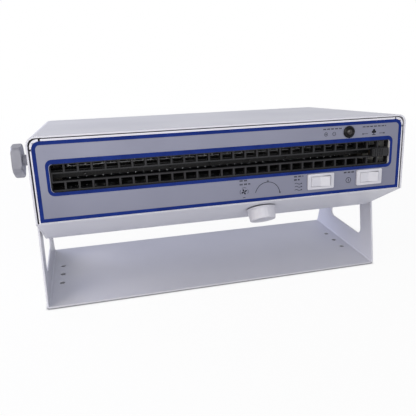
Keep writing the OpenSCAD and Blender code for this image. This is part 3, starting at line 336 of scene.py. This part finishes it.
# paler edges on the grey knobs: a painted highlight
rub_and_highlight_edges(grey_abs, 0.8, "#a9aab2", 0.7)
nylon = finish("nylon dark grey moulded", "#55555b", "#47474d", 15, 0.5, 1.0, 0.02)
needle_bar_shade_black = finish("needle bar black painted shade", "#101012", "#0c0c0e", 20, 0.5, 1.5, 0.01, gleam=0.2)
dress(black_abs, "outlet_grille", "cleaner_slider", "inlet_grille", "filter_frame", "fan_bush",
      "speed_control", "mains_inlet")
dress(black_gloss, "fuse_holder", "lamp_bezel")
dress(white_abs, "power_switch", "heat_switch", "power_rocker", "heat_rocker", "speed_knob")
dress(grey_abs, "clamp_knob_left", "clamp_knob_right")
dress(nylon, "spacer_washers")
# painted shade: the needle bar is black so that the slot inside the outlet reads dark
dress(needle_bar_shade_black, "emitter_bar")

# %% [markdown]
# ## Enamel in the air duct
#
# The duct behind the grille is thin sheet. Its roof, its ramp, its blanks and its floor are painted
# matt black as shade, so that the outlet looks dark. Only the wall at the right end is white: light that
# gets in there shows on it as bright slivers. One node holds floor and walls, so its material is white
# where the surface looks left, and painted-shade black elsewhere.

# %% Enamels
duct_shade_black = finish("duct black painted shade", "#101012", "#0c0c0e", 60, 0.65, 2.0, 0.008, gleam=0.2)
enamel = finish("duct white with painted shade black", "#e6e6e4", "#dadad8", 60, 0.32, 2.0, 0.006)
painted_shade_black_mask = add(enamel["tree"], "Math", {"operation": "LESS_THAN"},
                {0: facing(enamel["tree"], -RIGHT), 1: FACES_LEFT})
# painted shade: black on every duct face except the wall that looks left
recolour(enamel, painted_shade_black_mask.outputs[0], "#121214")
# painted shade: roof, ramp and blanks are black so that the outlet looks dark
dress(duct_shade_black, "duct_ramp", "duct_blanks", "duct_roof")
dress(enamel, "outlet_duct")

# %% [markdown]
# ## Plated and bare metals
#
# Hidden brackets are zinc-plated steel: the zinc freezes into a mosaic of crystals, each a slightly
# different grey. Voronoi cells draw that mosaic, here 7 mm across. Screws and shafts are nickel-bright,
# the fan wheel is pressed aluminium, and terminals are turned brass. All are fully metallic, so
# their colour is the colour of the reflection.

# %% Metals
CRYSTAL_MM = 7
zinc = finish("zinc plated sheet", "#b4b7bc", "#a4a7ad", 40, 0.4, 1.2, 0.006, metallic=1.0)
crystals = add(zinc["tree"], "TexVoronoi", None, {"Vector": zinc["place"], "Scale": 1 / (CRYSTAL_MM * MM)})
recolour(zinc, crystals.outputs["Color"], "#c9cbd0", 0.5)
bright_steel = finish("nickel plated steel", "#bcbdc1", "#acadb2", 12, 0.24, 0.8, 0.004, metallic=1.0)
pressed_aluminium = finish("aluminium pressed", "#c3c4c7", "#b4b5b9", 30, 0.36, 1.0, 0.006,
                           metallic=1.0, stretch=(12, 1, 1))
needle_steel = finish("stainless steel ground", "#b8b8bb", "#a9a9ad", 6, 0.2, 0.6, 0.003, metallic=1.0)
brass = finish("brass turned", "#c8a24d", "#b8923f", 10, 0.26, 0.7, 0.004, metallic=1.0)
dress(zinc, "scroll_back", "scroll_tongue", "fan_end_plate_left", "fan_end_plate_right",
      "motor_bracket", "transformer_clamp")
dress(bright_steel, "fan_shaft", "speed_shaft", "speed_nut", "lamp_nut", "pivot_nuts",
      "clamp_screw_left", "clamp_screw_right", "cover_screws", "back_screws", "mains_screws",
      "motor_rotor")
dress(pressed_aluminium, "fan_wheel", "heater_fins")
dress(needle_steel, "emitter_needles")
dress(brass, "inlet_pins", "board_standoffs", "earth_stud")

# %% [markdown]
# ## The motor and the transformer
#
# The stator is a stack of thin iron stampings, so its sides are striped along the shaft. The coil
# is copper wire laid in turns. Both are drawn as a wave of bands along X, 2 pi mm or 6.3 mm apart: far
# coarser than the real leaves and turns. The wave texture runs through WAVE_RATE radians per unit, so
# its scale follows from the millimetres per radian. The transformer is potted in dark resin.

# %% Stacked iron, wound copper and potting
WAVE_RATE, RADIAN_MM = 20, 1.0
stacked_iron = finish("iron stampings stacked", "#4b4b4f", "#3c3c40", 14, 0.5, 1.0, 0.01, metallic=0.8)
leaves = add(stacked_iron["tree"], "TexWave", {"bands_direction": "X"},
             {"Vector": stacked_iron["place"], "Scale": 1 / (WAVE_RATE * RADIAN_MM * MM)})
recolour(stacked_iron, leaves.outputs["Fac"], "#2a2a2e", 0.7)
wound_copper = finish("copper wire enamelled", "#b3622f", "#9c5327", 8, 0.3, 0.8, 0.01, metallic=0.9)
turns = add(wound_copper["tree"], "TexWave", {"bands_direction": "X"},
            {"Vector": wound_copper["place"], "Scale": 1 / (WAVE_RATE * RADIAN_MM * MM)})
recolour(wound_copper, turns.outputs["Fac"], "#6d3716", 0.8)
potting = finish("epoxy potting dark", "#24262d", "#1b1d23", 30, 0.34, 1.6, 0.01)
dress(stacked_iron, "motor_stator")
dress(wound_copper, "motor_coil")
dress(potting, "hv_transformer")

# %% [markdown]
# ## The heater, the filter and the board
#
# The warm-air heater is a ceramic strip gripped in mica holders. The inlet filter is open foam, whose
# pores are a fine Voronoi mesh. The cleaner's brush is natural bristle, and the circuit board is
# green solder resist with paler tracks beneath it. Little of them is seen from the front, but they show
# when the blower is opened.

# %% Ceramic, mica, foam, bristle and board
PORE_MM, PORE_FROM, PORE_TO = 2.0, 0.12, 0.3
TRACK_MM, TRACK_SHARE = 12, 0.06
OFF, ON = (0, 0, 0, 1), (1, 1, 1, 1)
ceramic = finish("ceramic sintered dark", "#37332f", "#2b2825", 12, 0.8, 0.8, 0.02)
mica = finish("mica pressed dark", "#3a342d", "#2b2621", 10, 0.6, 0.8, 0.02, stretch=(1, 1, 0.2))
foam = finish("foam open cell black", "#2c2d31", "#1f2023", 12, 0.9, 1.5, 0.1)
pores = add(foam["tree"], "TexVoronoi", {"feature": "DISTANCE_TO_EDGE"},
            {"Vector": foam["place"], "Scale": 1 / (PORE_MM * MM)})
pore = add(foam["tree"], "MapRange", None,
           {"Value": pores.outputs["Distance"], "From Min": PORE_FROM, "From Max": PORE_TO})
recolour(foam, pore.outputs[0], "#0c0c0e", 0.9)
bristle = finish("bristle dark brown", "#2c221b", "#1f1813", 3, 0.8, 0.5, 0.05, stretch=(1, 8, 1))
board_green = finish("circuit board green", "#17552f", "#0f4526", 14, 0.3, 1.0, 0.01)
tracks = add(board_green["tree"], "TexBrick", None,
             {"Vector": board_green["place"], "Scale": 1 / (TRACK_MM * MM),
              "Mortar Size": TRACK_SHARE, "Color1": OFF, "Color2": OFF, "Mortar": ON})
recolour(board_green, tracks.outputs["Color"], "#3f8a55", 0.6)
component_cases = finish("component cases mixed", "#2b3f6b", "#1c1f2a", 26, 0.35, 1.0, 0.01)
dress(ceramic, "heater_core")
dress(mica, "heater_holders")
dress(foam, "inlet_filter")
dress(bristle, "cleaner_brush")
dress(board_green, "circuit_board")
dress(component_cases, "board_parts")

# %% [markdown]
# ## The indicator's lens
#
# The lamp is a dark red acrylic dome that looks almost black while it is off. A deep base
# colour under a clear coat gives the sharp highlight of polished acrylic.

# %% Lens
lens_acrylic = finish("acrylic dark red polished", "#1d1318", "#140d11", 8, 0.1, 2.0, 0.002, coat=0.3,
                      spread=0.03, gleam=0.3)
dress(lens_acrylic, "lamp_lens")

# %% [markdown]
# ## New pieces from grids
#
# Every new piece is a grid of points worked out by a formula. Neighbouring points are joined into
# four-sided faces, and the grid may close on itself in either direction. Ends are closed with
# one face each. Points that fall together are then merged, and faces turned outwards.


# %% Grids to meshes
MERGE_M, CREASE_DEG = 1e-7, 35


def grid_faces(rows, columns, close_rows, close_columns):
    """Quads between neighbours: (r, c), (r, c + 1), (r + 1, c + 1), (r + 1, c), wrapping if closed."""
    r, c = np.meshgrid(np.arange(rows if close_rows else rows - 1),
                       np.arange(columns if close_columns else columns - 1), indexing="ij")
    r2, c2 = (r + 1) % rows, (c + 1) % columns
    quads = np.stack([r * columns + c, r * columns + c2, r2 * columns + c2, r2 * columns + c], axis=-1)
    return quads.reshape(-1, 4).tolist()


def piece(name, parts, made, body):
    """One object from (points, faces) parts: doubles merged, normals outwards, riding on a body."""
    points, faces = [], []
    for part_points, part_faces in parts:
        faces += [[i + len(points) for i in face] for face in part_faces]
        points += part_points.reshape(-1, 3).tolist()
    mesh = bpy.data.meshes.new(name)
    mesh.from_pydata(points, [], faces)
    work = bmesh.new()
    work.from_mesh(mesh)
    bmesh.ops.remove_doubles(work, verts=work.verts, dist=MERGE_M)
    bmesh.ops.dissolve_degenerate(work, dist=MERGE_M, edges=work.edges)
    bmesh.ops.recalc_face_normals(work, faces=work.faces)
    work.to_mesh(mesh)
    work.free()
    mesh.shade_smooth()
    mesh.set_sharp_from_angle(angle=math.radians(CREASE_DEG))
    made_object = bpy.data.objects.new(name, mesh)
    bpy.context.scene.collection.objects.link(made_object)
    dress(made, made_object)
    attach(made_object, body)
    print(name, "has", len(mesh.polygons), "faces")
    return made_object


# %% [markdown]
# ## The speed knob
#
# The knob on the chin is moulded ABS: a smooth skirt, a fine groove, then a grip with shallow flutes that
# narrows towards the free end, a rolled edge, and a slightly dished face. A lathe-like piece
# could be spun with a modifier, but a formula can also press the flutes into it: the radius is the
# profile's, less a scallop that repeats round the knob. A ridge on one side points at the scale.

# %% Turn the knob
KNOB_FLUTES, FLUTE_MM, RIDGE_MM, RIDGE_DEG, STEPS_PER_FLUTE = 24, 0.14, 0.4, 3, 10
SKIRT_MM, TAPER_MM, WALL_MM, ROLL_MM, CROWN_MM = 2.2, 1.2, 2.0, 1.3, 3.0
FOOT_EDGE, SKIRT_EDGE, GROOVE_DEEP, GROOVE_UP = 0.3, 0.2, 0.7, 0.1
GRIP_IN, GRIP_UP, GRIP_ROWS, FLUTE_RISE, ROLL_ROWS = 0.45, 0.5, 9, 6, 7
DISH_RIM, DISH_SLOPE, DISH_DEEP = (0.8, 0.1), (1.6, 0.35), 0.45
knob_joint = joints["speed_turn"]
knob_axis = np.array(knob_joint["axis"])
knob_place = np.array(knob_joint["pos_m"])
knob_mesh = frame["nodes"]["speed_knob"].data
knob_points = np.empty(len(knob_mesh.vertices) * 3)
knob_mesh.vertices.foreach_get("co", knob_points)
knob_points = (knob_points.reshape(-1, 3) - knob_place) / MM
knob_along = knob_points @ knob_axis
knob_radius = np.linalg.norm(knob_points - knob_along[:, None] * knob_axis, axis=1).max()
knob_foot, knob_end = knob_along.min(), knob_along.max()
knob_height = knob_end - knob_foot
grip = np.linspace(0, 1, GRIP_ROWS)
roll = np.radians(np.linspace(0, 90, ROLL_ROWS))
shoulder = knob_radius - GRIP_IN - TAPER_MM * grip
grip_foot, face_radius = SKIRT_MM + GRIP_UP, shoulder[-1] - ROLL_MM
# each row of the profile: radius, height above the foot, and the share of the flutes pressed in there
profile = np.concatenate([
    [(0, knob_height - CROWN_MM, 0), (knob_radius - WALL_MM - TAPER_MM, knob_height - CROWN_MM, 0),
     (knob_radius - WALL_MM, 0, 0), (knob_radius - FOOT_EDGE, 0, 0), (knob_radius, FOOT_EDGE, 0),
     (knob_radius, SKIRT_MM - SKIRT_EDGE, 0), (knob_radius - SKIRT_EDGE, SKIRT_MM, 0),
     (knob_radius - GROOVE_DEEP, SKIRT_MM + GROOVE_UP, 0)],
    np.stack([shoulder, grip_foot + (knob_height - ROLL_MM - grip_foot) * grip,
              np.minimum(1, FLUTE_RISE * grip)], axis=1),
    np.stack([shoulder[-1] - ROLL_MM * (1 - np.cos(roll)), knob_height - ROLL_MM * (1 - np.sin(roll)),
              1 - np.sin(roll)], axis=1)[1:],
    [(face_radius - DISH_RIM[0], knob_height - DISH_RIM[1], 0),
     (face_radius - DISH_SLOPE[0], knob_height - DISH_SLOPE[1], 0), (0, knob_height - DISH_DEEP, 0)]])
print("knob", round(2 * knob_radius, 1), "mm across,", round(knob_height, 1), "mm long")


def turned(profile, place, axis, flutes, flute_mm, ridge_mm):
    """Lathe: place + h axis + R (cos a up + sin a side), R = r - s f |cos(n a / 2)| + s g exp(-(a / w)^2).

    Radius r, height h and share s come from the profile; n flutes are f deep, the ridge is g high and
    w = RIDGE_DEG wide, and side points right."""
    up = np.cross(RIGHT, axis)
    a = np.linspace(-np.pi, np.pi, flutes * STEPS_PER_FLUTE + 1)[:-1]
    radius, height, share = (profile[:, i, None] for i in range(3))
    ridge = ridge_mm * np.exp(-(a / math.radians(RIDGE_DEG)) ** 2)
    r = radius - share * flute_mm * np.abs(np.cos(flutes * a / 2)) + share * ridge
    points = (height[..., None] * axis + (r * np.cos(a))[..., None] * up
              + (r * np.sin(a))[..., None] * RIGHT)
    return place + MM * points, grid_faces(len(profile), len(a), False, True)


knob = piece("speed_knob_grip", [turned(profile, knob_place + MM * knob_foot * knob_axis, knob_axis,
                                        KNOB_FLUTES, FLUTE_MM, RIDGE_MM)], white_abs, "speed_dial")
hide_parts("speed_knob")

# %% [markdown]
# ## Rolled edges on mouldings
#
# No moulded part leaves its tool with knife edges. The CAD nodes keep their meshes, and three
# modifiers finish them: Weld joins the loose triangles, a planar Decimate clears the triangulation from
# the flats, and Bevel rolls every edge sharper than thirty degrees. Rounding them in CAD would be
# slower, and a bump in the material would leave the outline sharp.


# %% Roll the edges
WELD_M, FLAT_DEG, ROLL_OVER_DEG, ROLL_SEGMENTS = 1e-6, 0.5, 30, 3


def roll_edges(node, width_mm):
    """Weld, planar decimate and bevel on a CAD node: the edge is replaced by an arc of a given width."""
    rounded = frame["nodes"][node]
    weld = rounded.modifiers.new("weld", "WELD")
    weld.merge_threshold = WELD_M
    flats = rounded.modifiers.new("flats", "DECIMATE")
    flats.decimate_type = "DISSOLVE"
    flats.angle_limit = math.radians(FLAT_DEG)
    bevel = rounded.modifiers.new("bevel", "BEVEL")
    bevel.width = width_mm * MM
    bevel.segments = ROLL_SEGMENTS
    bevel.limit_method = "ANGLE"
    bevel.angle_limit = math.radians(ROLL_OVER_DEG)
    bevel.harden_normals = True


ROLLED = {"power_switch": 0.35, "heat_switch": 0.35, "power_rocker": 0.4, "heat_rocker": 0.4,
          "clamp_knob_left": 0.7, "clamp_knob_right": 0.7, "cleaner_slider": 0.25}
for node, width in ROLLED.items():
    roll_edges(node, width)
print("rolled", len(ROLLED), "mouldings")

# %% [markdown]
# ## Ink on the panel
#
# The border lines and symbols are screen-printed: a film of ink a few hundredths of a millimetre thick.
# Each line is a path on the panel with a width. At every point the two sides lie half the width
# away along the mitre, the direction that halves the corner. The ink stands 0.1 mm proud, enough
# for a solid of its own.

# %% Paths and bands
INK_MM, ROUND_STEPS, CORNER_STEPS, PRINT_WIDTH = 0.1, 24, 10, 0.45


def ribbon(left, right, closed):
    """Ink between two rows of points: a strip INK_MM thick, with walls, and end faces if it is open."""
    ring = np.stack([left, right, right, left], axis=1)
    depth = np.array([-INK_MM, -INK_MM, 0.0, 0.0])
    points = housed(ring[..., 0], FACE_Y + depth, ring[..., 1])
    faces = grid_faces(len(ring), 4, closed, True)
    if not closed:
        last = 4 * (len(ring) - 1)
        faces += [[3, 2, 1, 0], [last, last + 1, last + 2, last + 3]]
    return points, faces


def band(path, width, closed=False):
    """Ink along a path: side points are p +- m * width / 2, with m the mitre (n0 + n1) / (1 + n0.n1)."""
    path = np.asarray(path, float)
    step = np.roll(path, -1, axis=0) - path
    if not closed:
        step[-1] = step[-2]
    normal = np.stack([-step[:, 1], step[:, 0]], axis=1)
    normal /= np.linalg.norm(normal, axis=1)[:, None]
    before = np.roll(normal, 1, axis=0)
    if not closed:
        before[0] = normal[0]
    mitre = (before + normal) / (1 + (before * normal).sum(axis=1))[:, None]
    return ribbon(path + mitre * width / 2, path - mitre * width / 2, closed)


def plate(outline):
    """Flat ink shape: the outline in front, the same outline on the panel, and a wall between them."""
    outline = np.asarray(outline, float)
    count = len(outline)
    depth = np.array([-INK_MM, 0.0])[:, None]
    points = housed(outline[None, :, 0], FACE_Y + depth, outline[None, :, 1])
    faces = grid_faces(2, count, False, True)
    return points, faces + [list(range(count))[::-1], list(range(count, 2 * count))]


def arc(centre, radius, start_deg, end_deg, count=ROUND_STEPS):
    """Points of a circle's arc: centre + radius (cos a, sin a), a from start to end."""
    a = np.radians(np.linspace(start_deg, end_deg, count))
    return np.stack([centre[0] + radius * np.cos(a), centre[1] + radius * np.sin(a)], axis=1)


def circle(centre, radius):
    """A closed circle: the arc from 0 to 360 degrees, without repeating its first point."""
    return arc(centre, radius, 0, 360, ROUND_STEPS + 1)[:-1]


def frame_path(left, right, low, high, low_radius, high_radius):
    """Rectangle whose corners are quarter circles, or single points where the radius is zero."""
    corners = [(right, high, -1, -1, high_radius, 0), (left, high, 1, -1, high_radius, 90),
               (left, low, 1, 1, low_radius, 180), (right, low, -1, 1, low_radius, 270)]
    return np.concatenate([
        arc((x + sx * r, z + sz * r), r, a, a + 90, CORNER_STEPS) if r else np.array([[x, z]], float)
        for x, z, sx, sz, r, a in corners])


blue_ink = finish("printing ink blue", "#122a72", "#0f2466", 20, 0.6, 1.5, 0.003, gleam=0.1)
black_ink = finish("printing ink black", "#17171f", "#121218", 20, 0.6, 1.5, 0.003, gleam=0.1)

# %% [markdown]
# ## The two blue borders
#
# One line follows the panel's edge, round at the top corners and square at the chin; the other frames
# the outlet. A light rim of painted sheet stays outside the first, which covers the film's edge.

# %% Borders
grille_low, grille_high = reach("outlet_grille")
OUTER_LINE = 3.7
RIM_SIDE, RIM_TOP, RIM_LOW = 1.4, 2.0, 0.5
SHOULDER_SIDE, SHOULDER_TOP, SHOULDER_LOW = 2.9, 4.3, 3.5
EDGE_RADIUS, SHOULDER_RADIUS, OUTLET_RADIUS = 6.2, 6.4, 3.6

outer = frame_path(panel_low[0] + RIM_SIDE + OUTER_LINE / 2, panel_high[0] - RIM_SIDE - OUTER_LINE / 2,
                   panel_low[2] + RIM_LOW + OUTER_LINE / 2, panel_high[2] - RIM_TOP - OUTER_LINE / 2,
                   0, EDGE_RADIUS)
around_outlet = frame_path(grille_low[0] - SHOULDER_SIDE, grille_high[0] + SHOULDER_SIDE,
                           grille_low[2] - SHOULDER_LOW, grille_high[2] + SHOULDER_TOP,
                           SHOULDER_RADIUS, SHOULDER_RADIUS)
at_outlet = frame_path(grille_low[0], grille_high[0], grille_low[2], grille_high[2],
                       OUTLET_RADIUS, OUTLET_RADIUS)
piece("printed_borders", [band(outer, OUTER_LINE, True), ribbon(at_outlet, around_outlet, True)],
      blue_ink, "housing")

# %% [markdown]
# ## Symbols beside the controls
#
# Plain pictures say what each control does, with no words: a fan and a rising arc for the speed,
# wavy arrows for warm air, a ringed bar for power, plus and minus for the ions, and a brush
# between two arrows for the cleaner that slides along the needles. One or two rows of
# ticks stand over each group.


# %% Symbol shapes
BARB_DEG, TICK_WIDTH, TICK_TALL, TICK_LEAN, TICK_GROUP = 150, 0.78, 1.7, 0.01, 4
WAVE_POINTS, WAVE_WIDTH, PETAL_POINTS, PETAL_START = 24, 0.5, 16, 1.25


def head(tip, angle_deg, size):
    """Arrow head: tip at a point, pointing along an angle, and barbs size away at angle +- BARB_DEG."""
    a = np.radians([angle_deg, angle_deg + BARB_DEG, angle_deg - BARB_DEG])
    reach_out = np.array([0, size, size])
    return plate(np.stack([tip[0] + reach_out * np.cos(a), tip[1] + reach_out * np.sin(a)], axis=1))


def line(x0, z0, x1, z1, width=PRINT_WIDTH):
    """A straight stroke between two points, by way of the point halfway."""
    return band([(x0, z0), ((x0 + x1) / 2, (z0 + z1) / 2), (x1, z1)], width)


def strokes(centre, rows):
    """Straight strokes about a centre; each row is x0, z0, x1, z1 and a width, if it isn't the usual."""
    x, z = centre
    return [line(x + x0, z + z0, x + x1, z + z1, *width) for x0, z0, x1, z1, *width in rows]


def ticks(centre, left, right, up, count, tall=TICK_TALL):
    """A row of upright strokes: left + (right - left) k / (count - 1), without each group's last."""
    x0, x1, z = centre[0] + left, centre[0] + right, centre[1] + up
    places = [x0 + (x1 - x0) * k / (count - 1) for k in range(count) if k % TICK_GROUP != TICK_GROUP - 1]
    return [line(x, z, x + TICK_LEAN, z + tall, TICK_WIDTH) for x in places]


def wave(x0, x1, z, height, swings):
    """A wavy stroke: z + height sin(2 pi swings t), t from 0 to 1."""
    t = np.linspace(0, 1, WAVE_POINTS)
    path = np.stack([x0 + (x1 - x0) * t, z + height * np.sin(2 * np.pi * swings * t)], axis=1)
    return band(path, WAVE_WIDTH)


def petal(centre, angle_deg, length, width):
    """A fan blade: an ellipse off the centre, x = length / 2 (1.25 + cos a), y = width / 2 sin a."""
    a = np.linspace(0, 2 * np.pi, PETAL_POINTS + 1)[:-1]
    x, y = length / 2 * (PETAL_START + np.cos(a)), width / 2 * np.sin(a)
    c, s = math.cos(math.radians(angle_deg)), math.sin(math.radians(angle_deg))
    return plate(np.stack([centre[0] + c * x - s * y, centre[1] + s * x + c * y], axis=1))


def middle(node):
    """Centre of a CAD node on the panel: (lowest + highest) / 2, to the right and up."""
    low, high = reach(node)
    return (low[0] + high[0]) / 2, (low[2] + high[2]) / 2


# %% Print the symbols
# offsets and sizes are millimetres right of and above each symbol's centre
lamp_x, lamp_z = lamp = middle("lamp_bezel")
power_x, power_z = middle("power_switch")
heat_x = middle("heat_switch")[0]
dial_x = (PIVOT[0] + knob_place[0]) / MM

dial, fan = (dial_x - 0.5, panel_low[2] + 6.6), (dial_x - 27.5, panel_low[2] + 12.5)
speed_marks = [band(arc(dial, 14.4, 8, 166), 0.6),
               band(circle((dial[0] + 0.3, dial[1] + 15.6), 0.8), 0.4, True),
               head((dial[0] + 14.6, dial[1] + 0.4), -86, 2.2),
               *[petal(fan, a, 3.0, 1.6) for a in (25, 115, 205, 295)],
               *[band(arc(fan, 4.6, a, a + 60), 0.4) for a in (60, 150, 330)],
               *ticks(fan, -4.4, 3.0, 11.4, 7), *ticks(fan, -4.4, 6.6, 7.4, 10),
               *strokes(fan, [(-1.4, -6.4, 1.4, -6.4, 0.5)])]
piece("printed_speed_marks", speed_marks, black_ink, "housing")

heat = (heat_x - 27, power_z)
heat_marks = ticks(heat, -4.4, 5.6, 6.6, 9) + ticks(heat, -4.4, 1.2, 3.0, 6)
for drop in (0.6, 4.2, 7.8):
    heat_marks += [wave(heat[0] - 4, heat[0] + 3.4, power_z - drop, 0.7, 1.0),
                   head((heat[0] + 5, power_z - drop), 0, 1.6)]
piece("printed_heat_marks", heat_marks, black_ink, "housing")

ring = (power_x - 25.7, power_z - 2.0)
power_marks = [band(circle(ring, 3.0), 0.5, True), *strokes(ring, [(0, -1.6, 0, 1.6, 0.6)]),
               *ticks(ring, -5.6, 6.4, 8.2, 11)]
piece("printed_power_marks", power_marks, black_ink, "housing")

plus, minus = (lamp_x - 28.0, lamp_z - 1.1), (lamp_x - 18.2, lamp_z - 1.2)
ion_marks = [band(circle(plus, 1.9), 0.4, True), band(circle(minus, 1.9), 0.4, True),
             *strokes(plus, [(-1, 0, 1, 0, 0.4), (0, -1, 0, 1, 0.4)]),
             *strokes(minus, [(-1, 0, 1, 0, 0.4)]), *ticks(lamp, -31.0, -9.6, 3.8, 19, 1.3)]
piece("printed_ion_marks", ion_marks, black_ink, "housing")

brush = (lamp_x + 31.4, lamp_z - 1.6)
cleaner_marks = [*[plate(circle((brush[0] + x, brush[1] + z), radius))
                   for x, z, radius in ((0, 1.6, 1.4), (-1.5, -0.2, 1.3), (1.5, -0.2, 1.3))],
                 *strokes(brush, [(0, 0, 0, -3.2, 0.9), (-2.2, -3.2, 2.2, -3.2, 0.7),
                                  (-13.5, -1.8, -7.6, -1.8)]),
                 head((brush[0] - 15, brush[1] - 1.8), 180, 2.0),
                 *strokes(brush, [(6.8, -2.0, 12.6, -2.0)]),
                 head((brush[0] + 14.2, brush[1] - 2.0), 0, 2.0),
                 *ticks(lamp, 17.4, 46.0, 3.8, 25, 1.3)]
piece("printed_cleaner_marks", cleaner_marks, black_ink, "housing")

# %% [markdown]
# ## Floor and light
#
# A product stands on a white sweep among large soft lamps. The floor is a pale surface that the
# camera sees as nearly white: it takes a faint shadow, and a painted contact shadow darkens it where
# something stands within a few millimetres.
# A warm lamp stands at the left and a white one in front, both well above the housing. A weak
# lamp low in front lifts the chin, and a cool one at the back left lights the cover and the arms.

# %% Floor
FLOOR_HALF, FLOOR_DROP, HORIZON = 6.0, 0.0005, 1.4
UNDER_MM, UNDER_SAMPLES, UNDER_FROM, UNDER_TO = 4.0, 8, 0.55, 0.95
GLOW_SHARE, GLOW_FROM = 0.94, 0.5
floor_material, floor_tree, floor_output = start("studio sweep white")
floor_glow = add(floor_tree, "Emission", None, {"Color": colour("#ffffff"), "Strength": 1.0})
outward = add(floor_tree, "VectorMath", {"operation": "LENGTH"},
              {0: add(floor_tree, "TexCoord").outputs["Object"]})
far = add(floor_tree, "MapRange", None,
          {"Value": outward.outputs["Value"], "From Min": GLOW_FROM, "From Max": HORIZON,
           "To Min": GLOW_SHARE, "To Max": 1.0})
# painted contact shadow: the floor turns grey and loses its glow where ambient occlusion finds the object
# within a few millimetres
open_sky = add(floor_tree, "AmbientOcclusion", {"samples": UNDER_SAMPLES}, {"Distance": UNDER_MM * MM})
uncovered = add(floor_tree, "MapRange", None,
                {"Value": open_sky.outputs["AO"], "From Min": UNDER_FROM, "From Max": UNDER_TO})
contact_shadow_colour = add(floor_tree, "Mix", {"data_type": "RGBA"},
               {MIX_FACTOR: uncovered.outputs[0], MIX_UNDER: colour("#85858b"),
                MIX_OVER: colour("#f4f4f6")})
floor_paint = add(floor_tree, "BsdfDiffuse", None, {"Color": contact_shadow_colour.outputs[MIX_RESULT]})
share = add(floor_tree, "Math", {"operation": "MULTIPLY"}, {0: far.outputs[0], 1: uncovered.outputs[0]})
floor_share = add(floor_tree, "Math", {"operation": "MULTIPLY"},
                  {0: share.outputs[0], 1: sights(floor_tree)})
floor_mix = add(floor_tree, "MixShader", None, {0: floor_share.outputs[0], 1: floor_paint.outputs[0],
                                                2: floor_glow.outputs[0]})
floor_tree.links.new(floor_mix.outputs[0], floor_output.inputs[0])
corners = FLOOR_HALF * np.array([(-1, -1), (1, -1), (1, 1), (-1, 1)])
floor_mesh = bpy.data.meshes.new("studio_floor")
floor_mesh.from_pydata([(x, y, -FLOOR_DROP) for x, y in corners], [], [[0, 1, 2, 3]])
floor_mesh.materials.append(floor_material)
floor = bpy.data.objects.new("studio_floor", floor_mesh)
bpy.context.scene.collection.objects.link(floor)
print("floor", 2 * FLOOR_HALF, "m wide")

# %% World and lamps
SKY_STRENGTH = 0.35
world = bpy.data.worlds.new("studio")
bpy.context.scene.world = world
world.use_nodes = True
sky = world.node_tree
sky.nodes.clear()
sky_light = add(sky, "Background", None, {"Color": colour("#f2f3ff"), "Strength": SKY_STRENGTH})
sky_back = add(sky, "Background", None, {"Color": colour("#ffffff"), "Strength": 1.0})
sky_mix = add(sky, "MixShader", None, {0: sights(sky), 1: sky_light.outputs[0], 2: sky_back.outputs[0]})
add(sky, "OutputWorld", None, {0: sky_mix.outputs[0]})


def soft_lamp(name, place, aim, size, watts, code):
    """A square area lamp at a place, turned so that it shines at a point."""
    data = bpy.data.lights.new(name, "AREA")
    data.shape = "SQUARE"
    data.size = size
    data.energy = watts
    data.color = colour(code)[:3]
    lamp = bpy.data.objects.new(name, data)
    lamp.location = place
    lamp.rotation_euler = (Vector(aim) - Vector(place)).to_track_quat("-Z", "Y").to_euler()
    bpy.context.scene.collection.objects.link(lamp)
    print(name, watts, "W")


# name, place and aim in metres, size in metres, watts and colour
soft_lamp("left lamp", (-1.6, -0.8, 0.9), (-0.1, 0, 0.12), 1.2, 17, "#fff7e8")
soft_lamp("front lamp", (0.2, -2.0, 0.9), (0, 0, 0.1), 1.4, 17, "#ffffff")
soft_lamp("low lamp", (-0.5, -2.0, 0.34), (0, 0, 0.08), 0.6, 3.5, "#fffcf6")
soft_lamp("back lamp", (-1.25, 1.15, 0.55), (0.05, 0, 0.08), 1.0, 19, "#dee2ff")
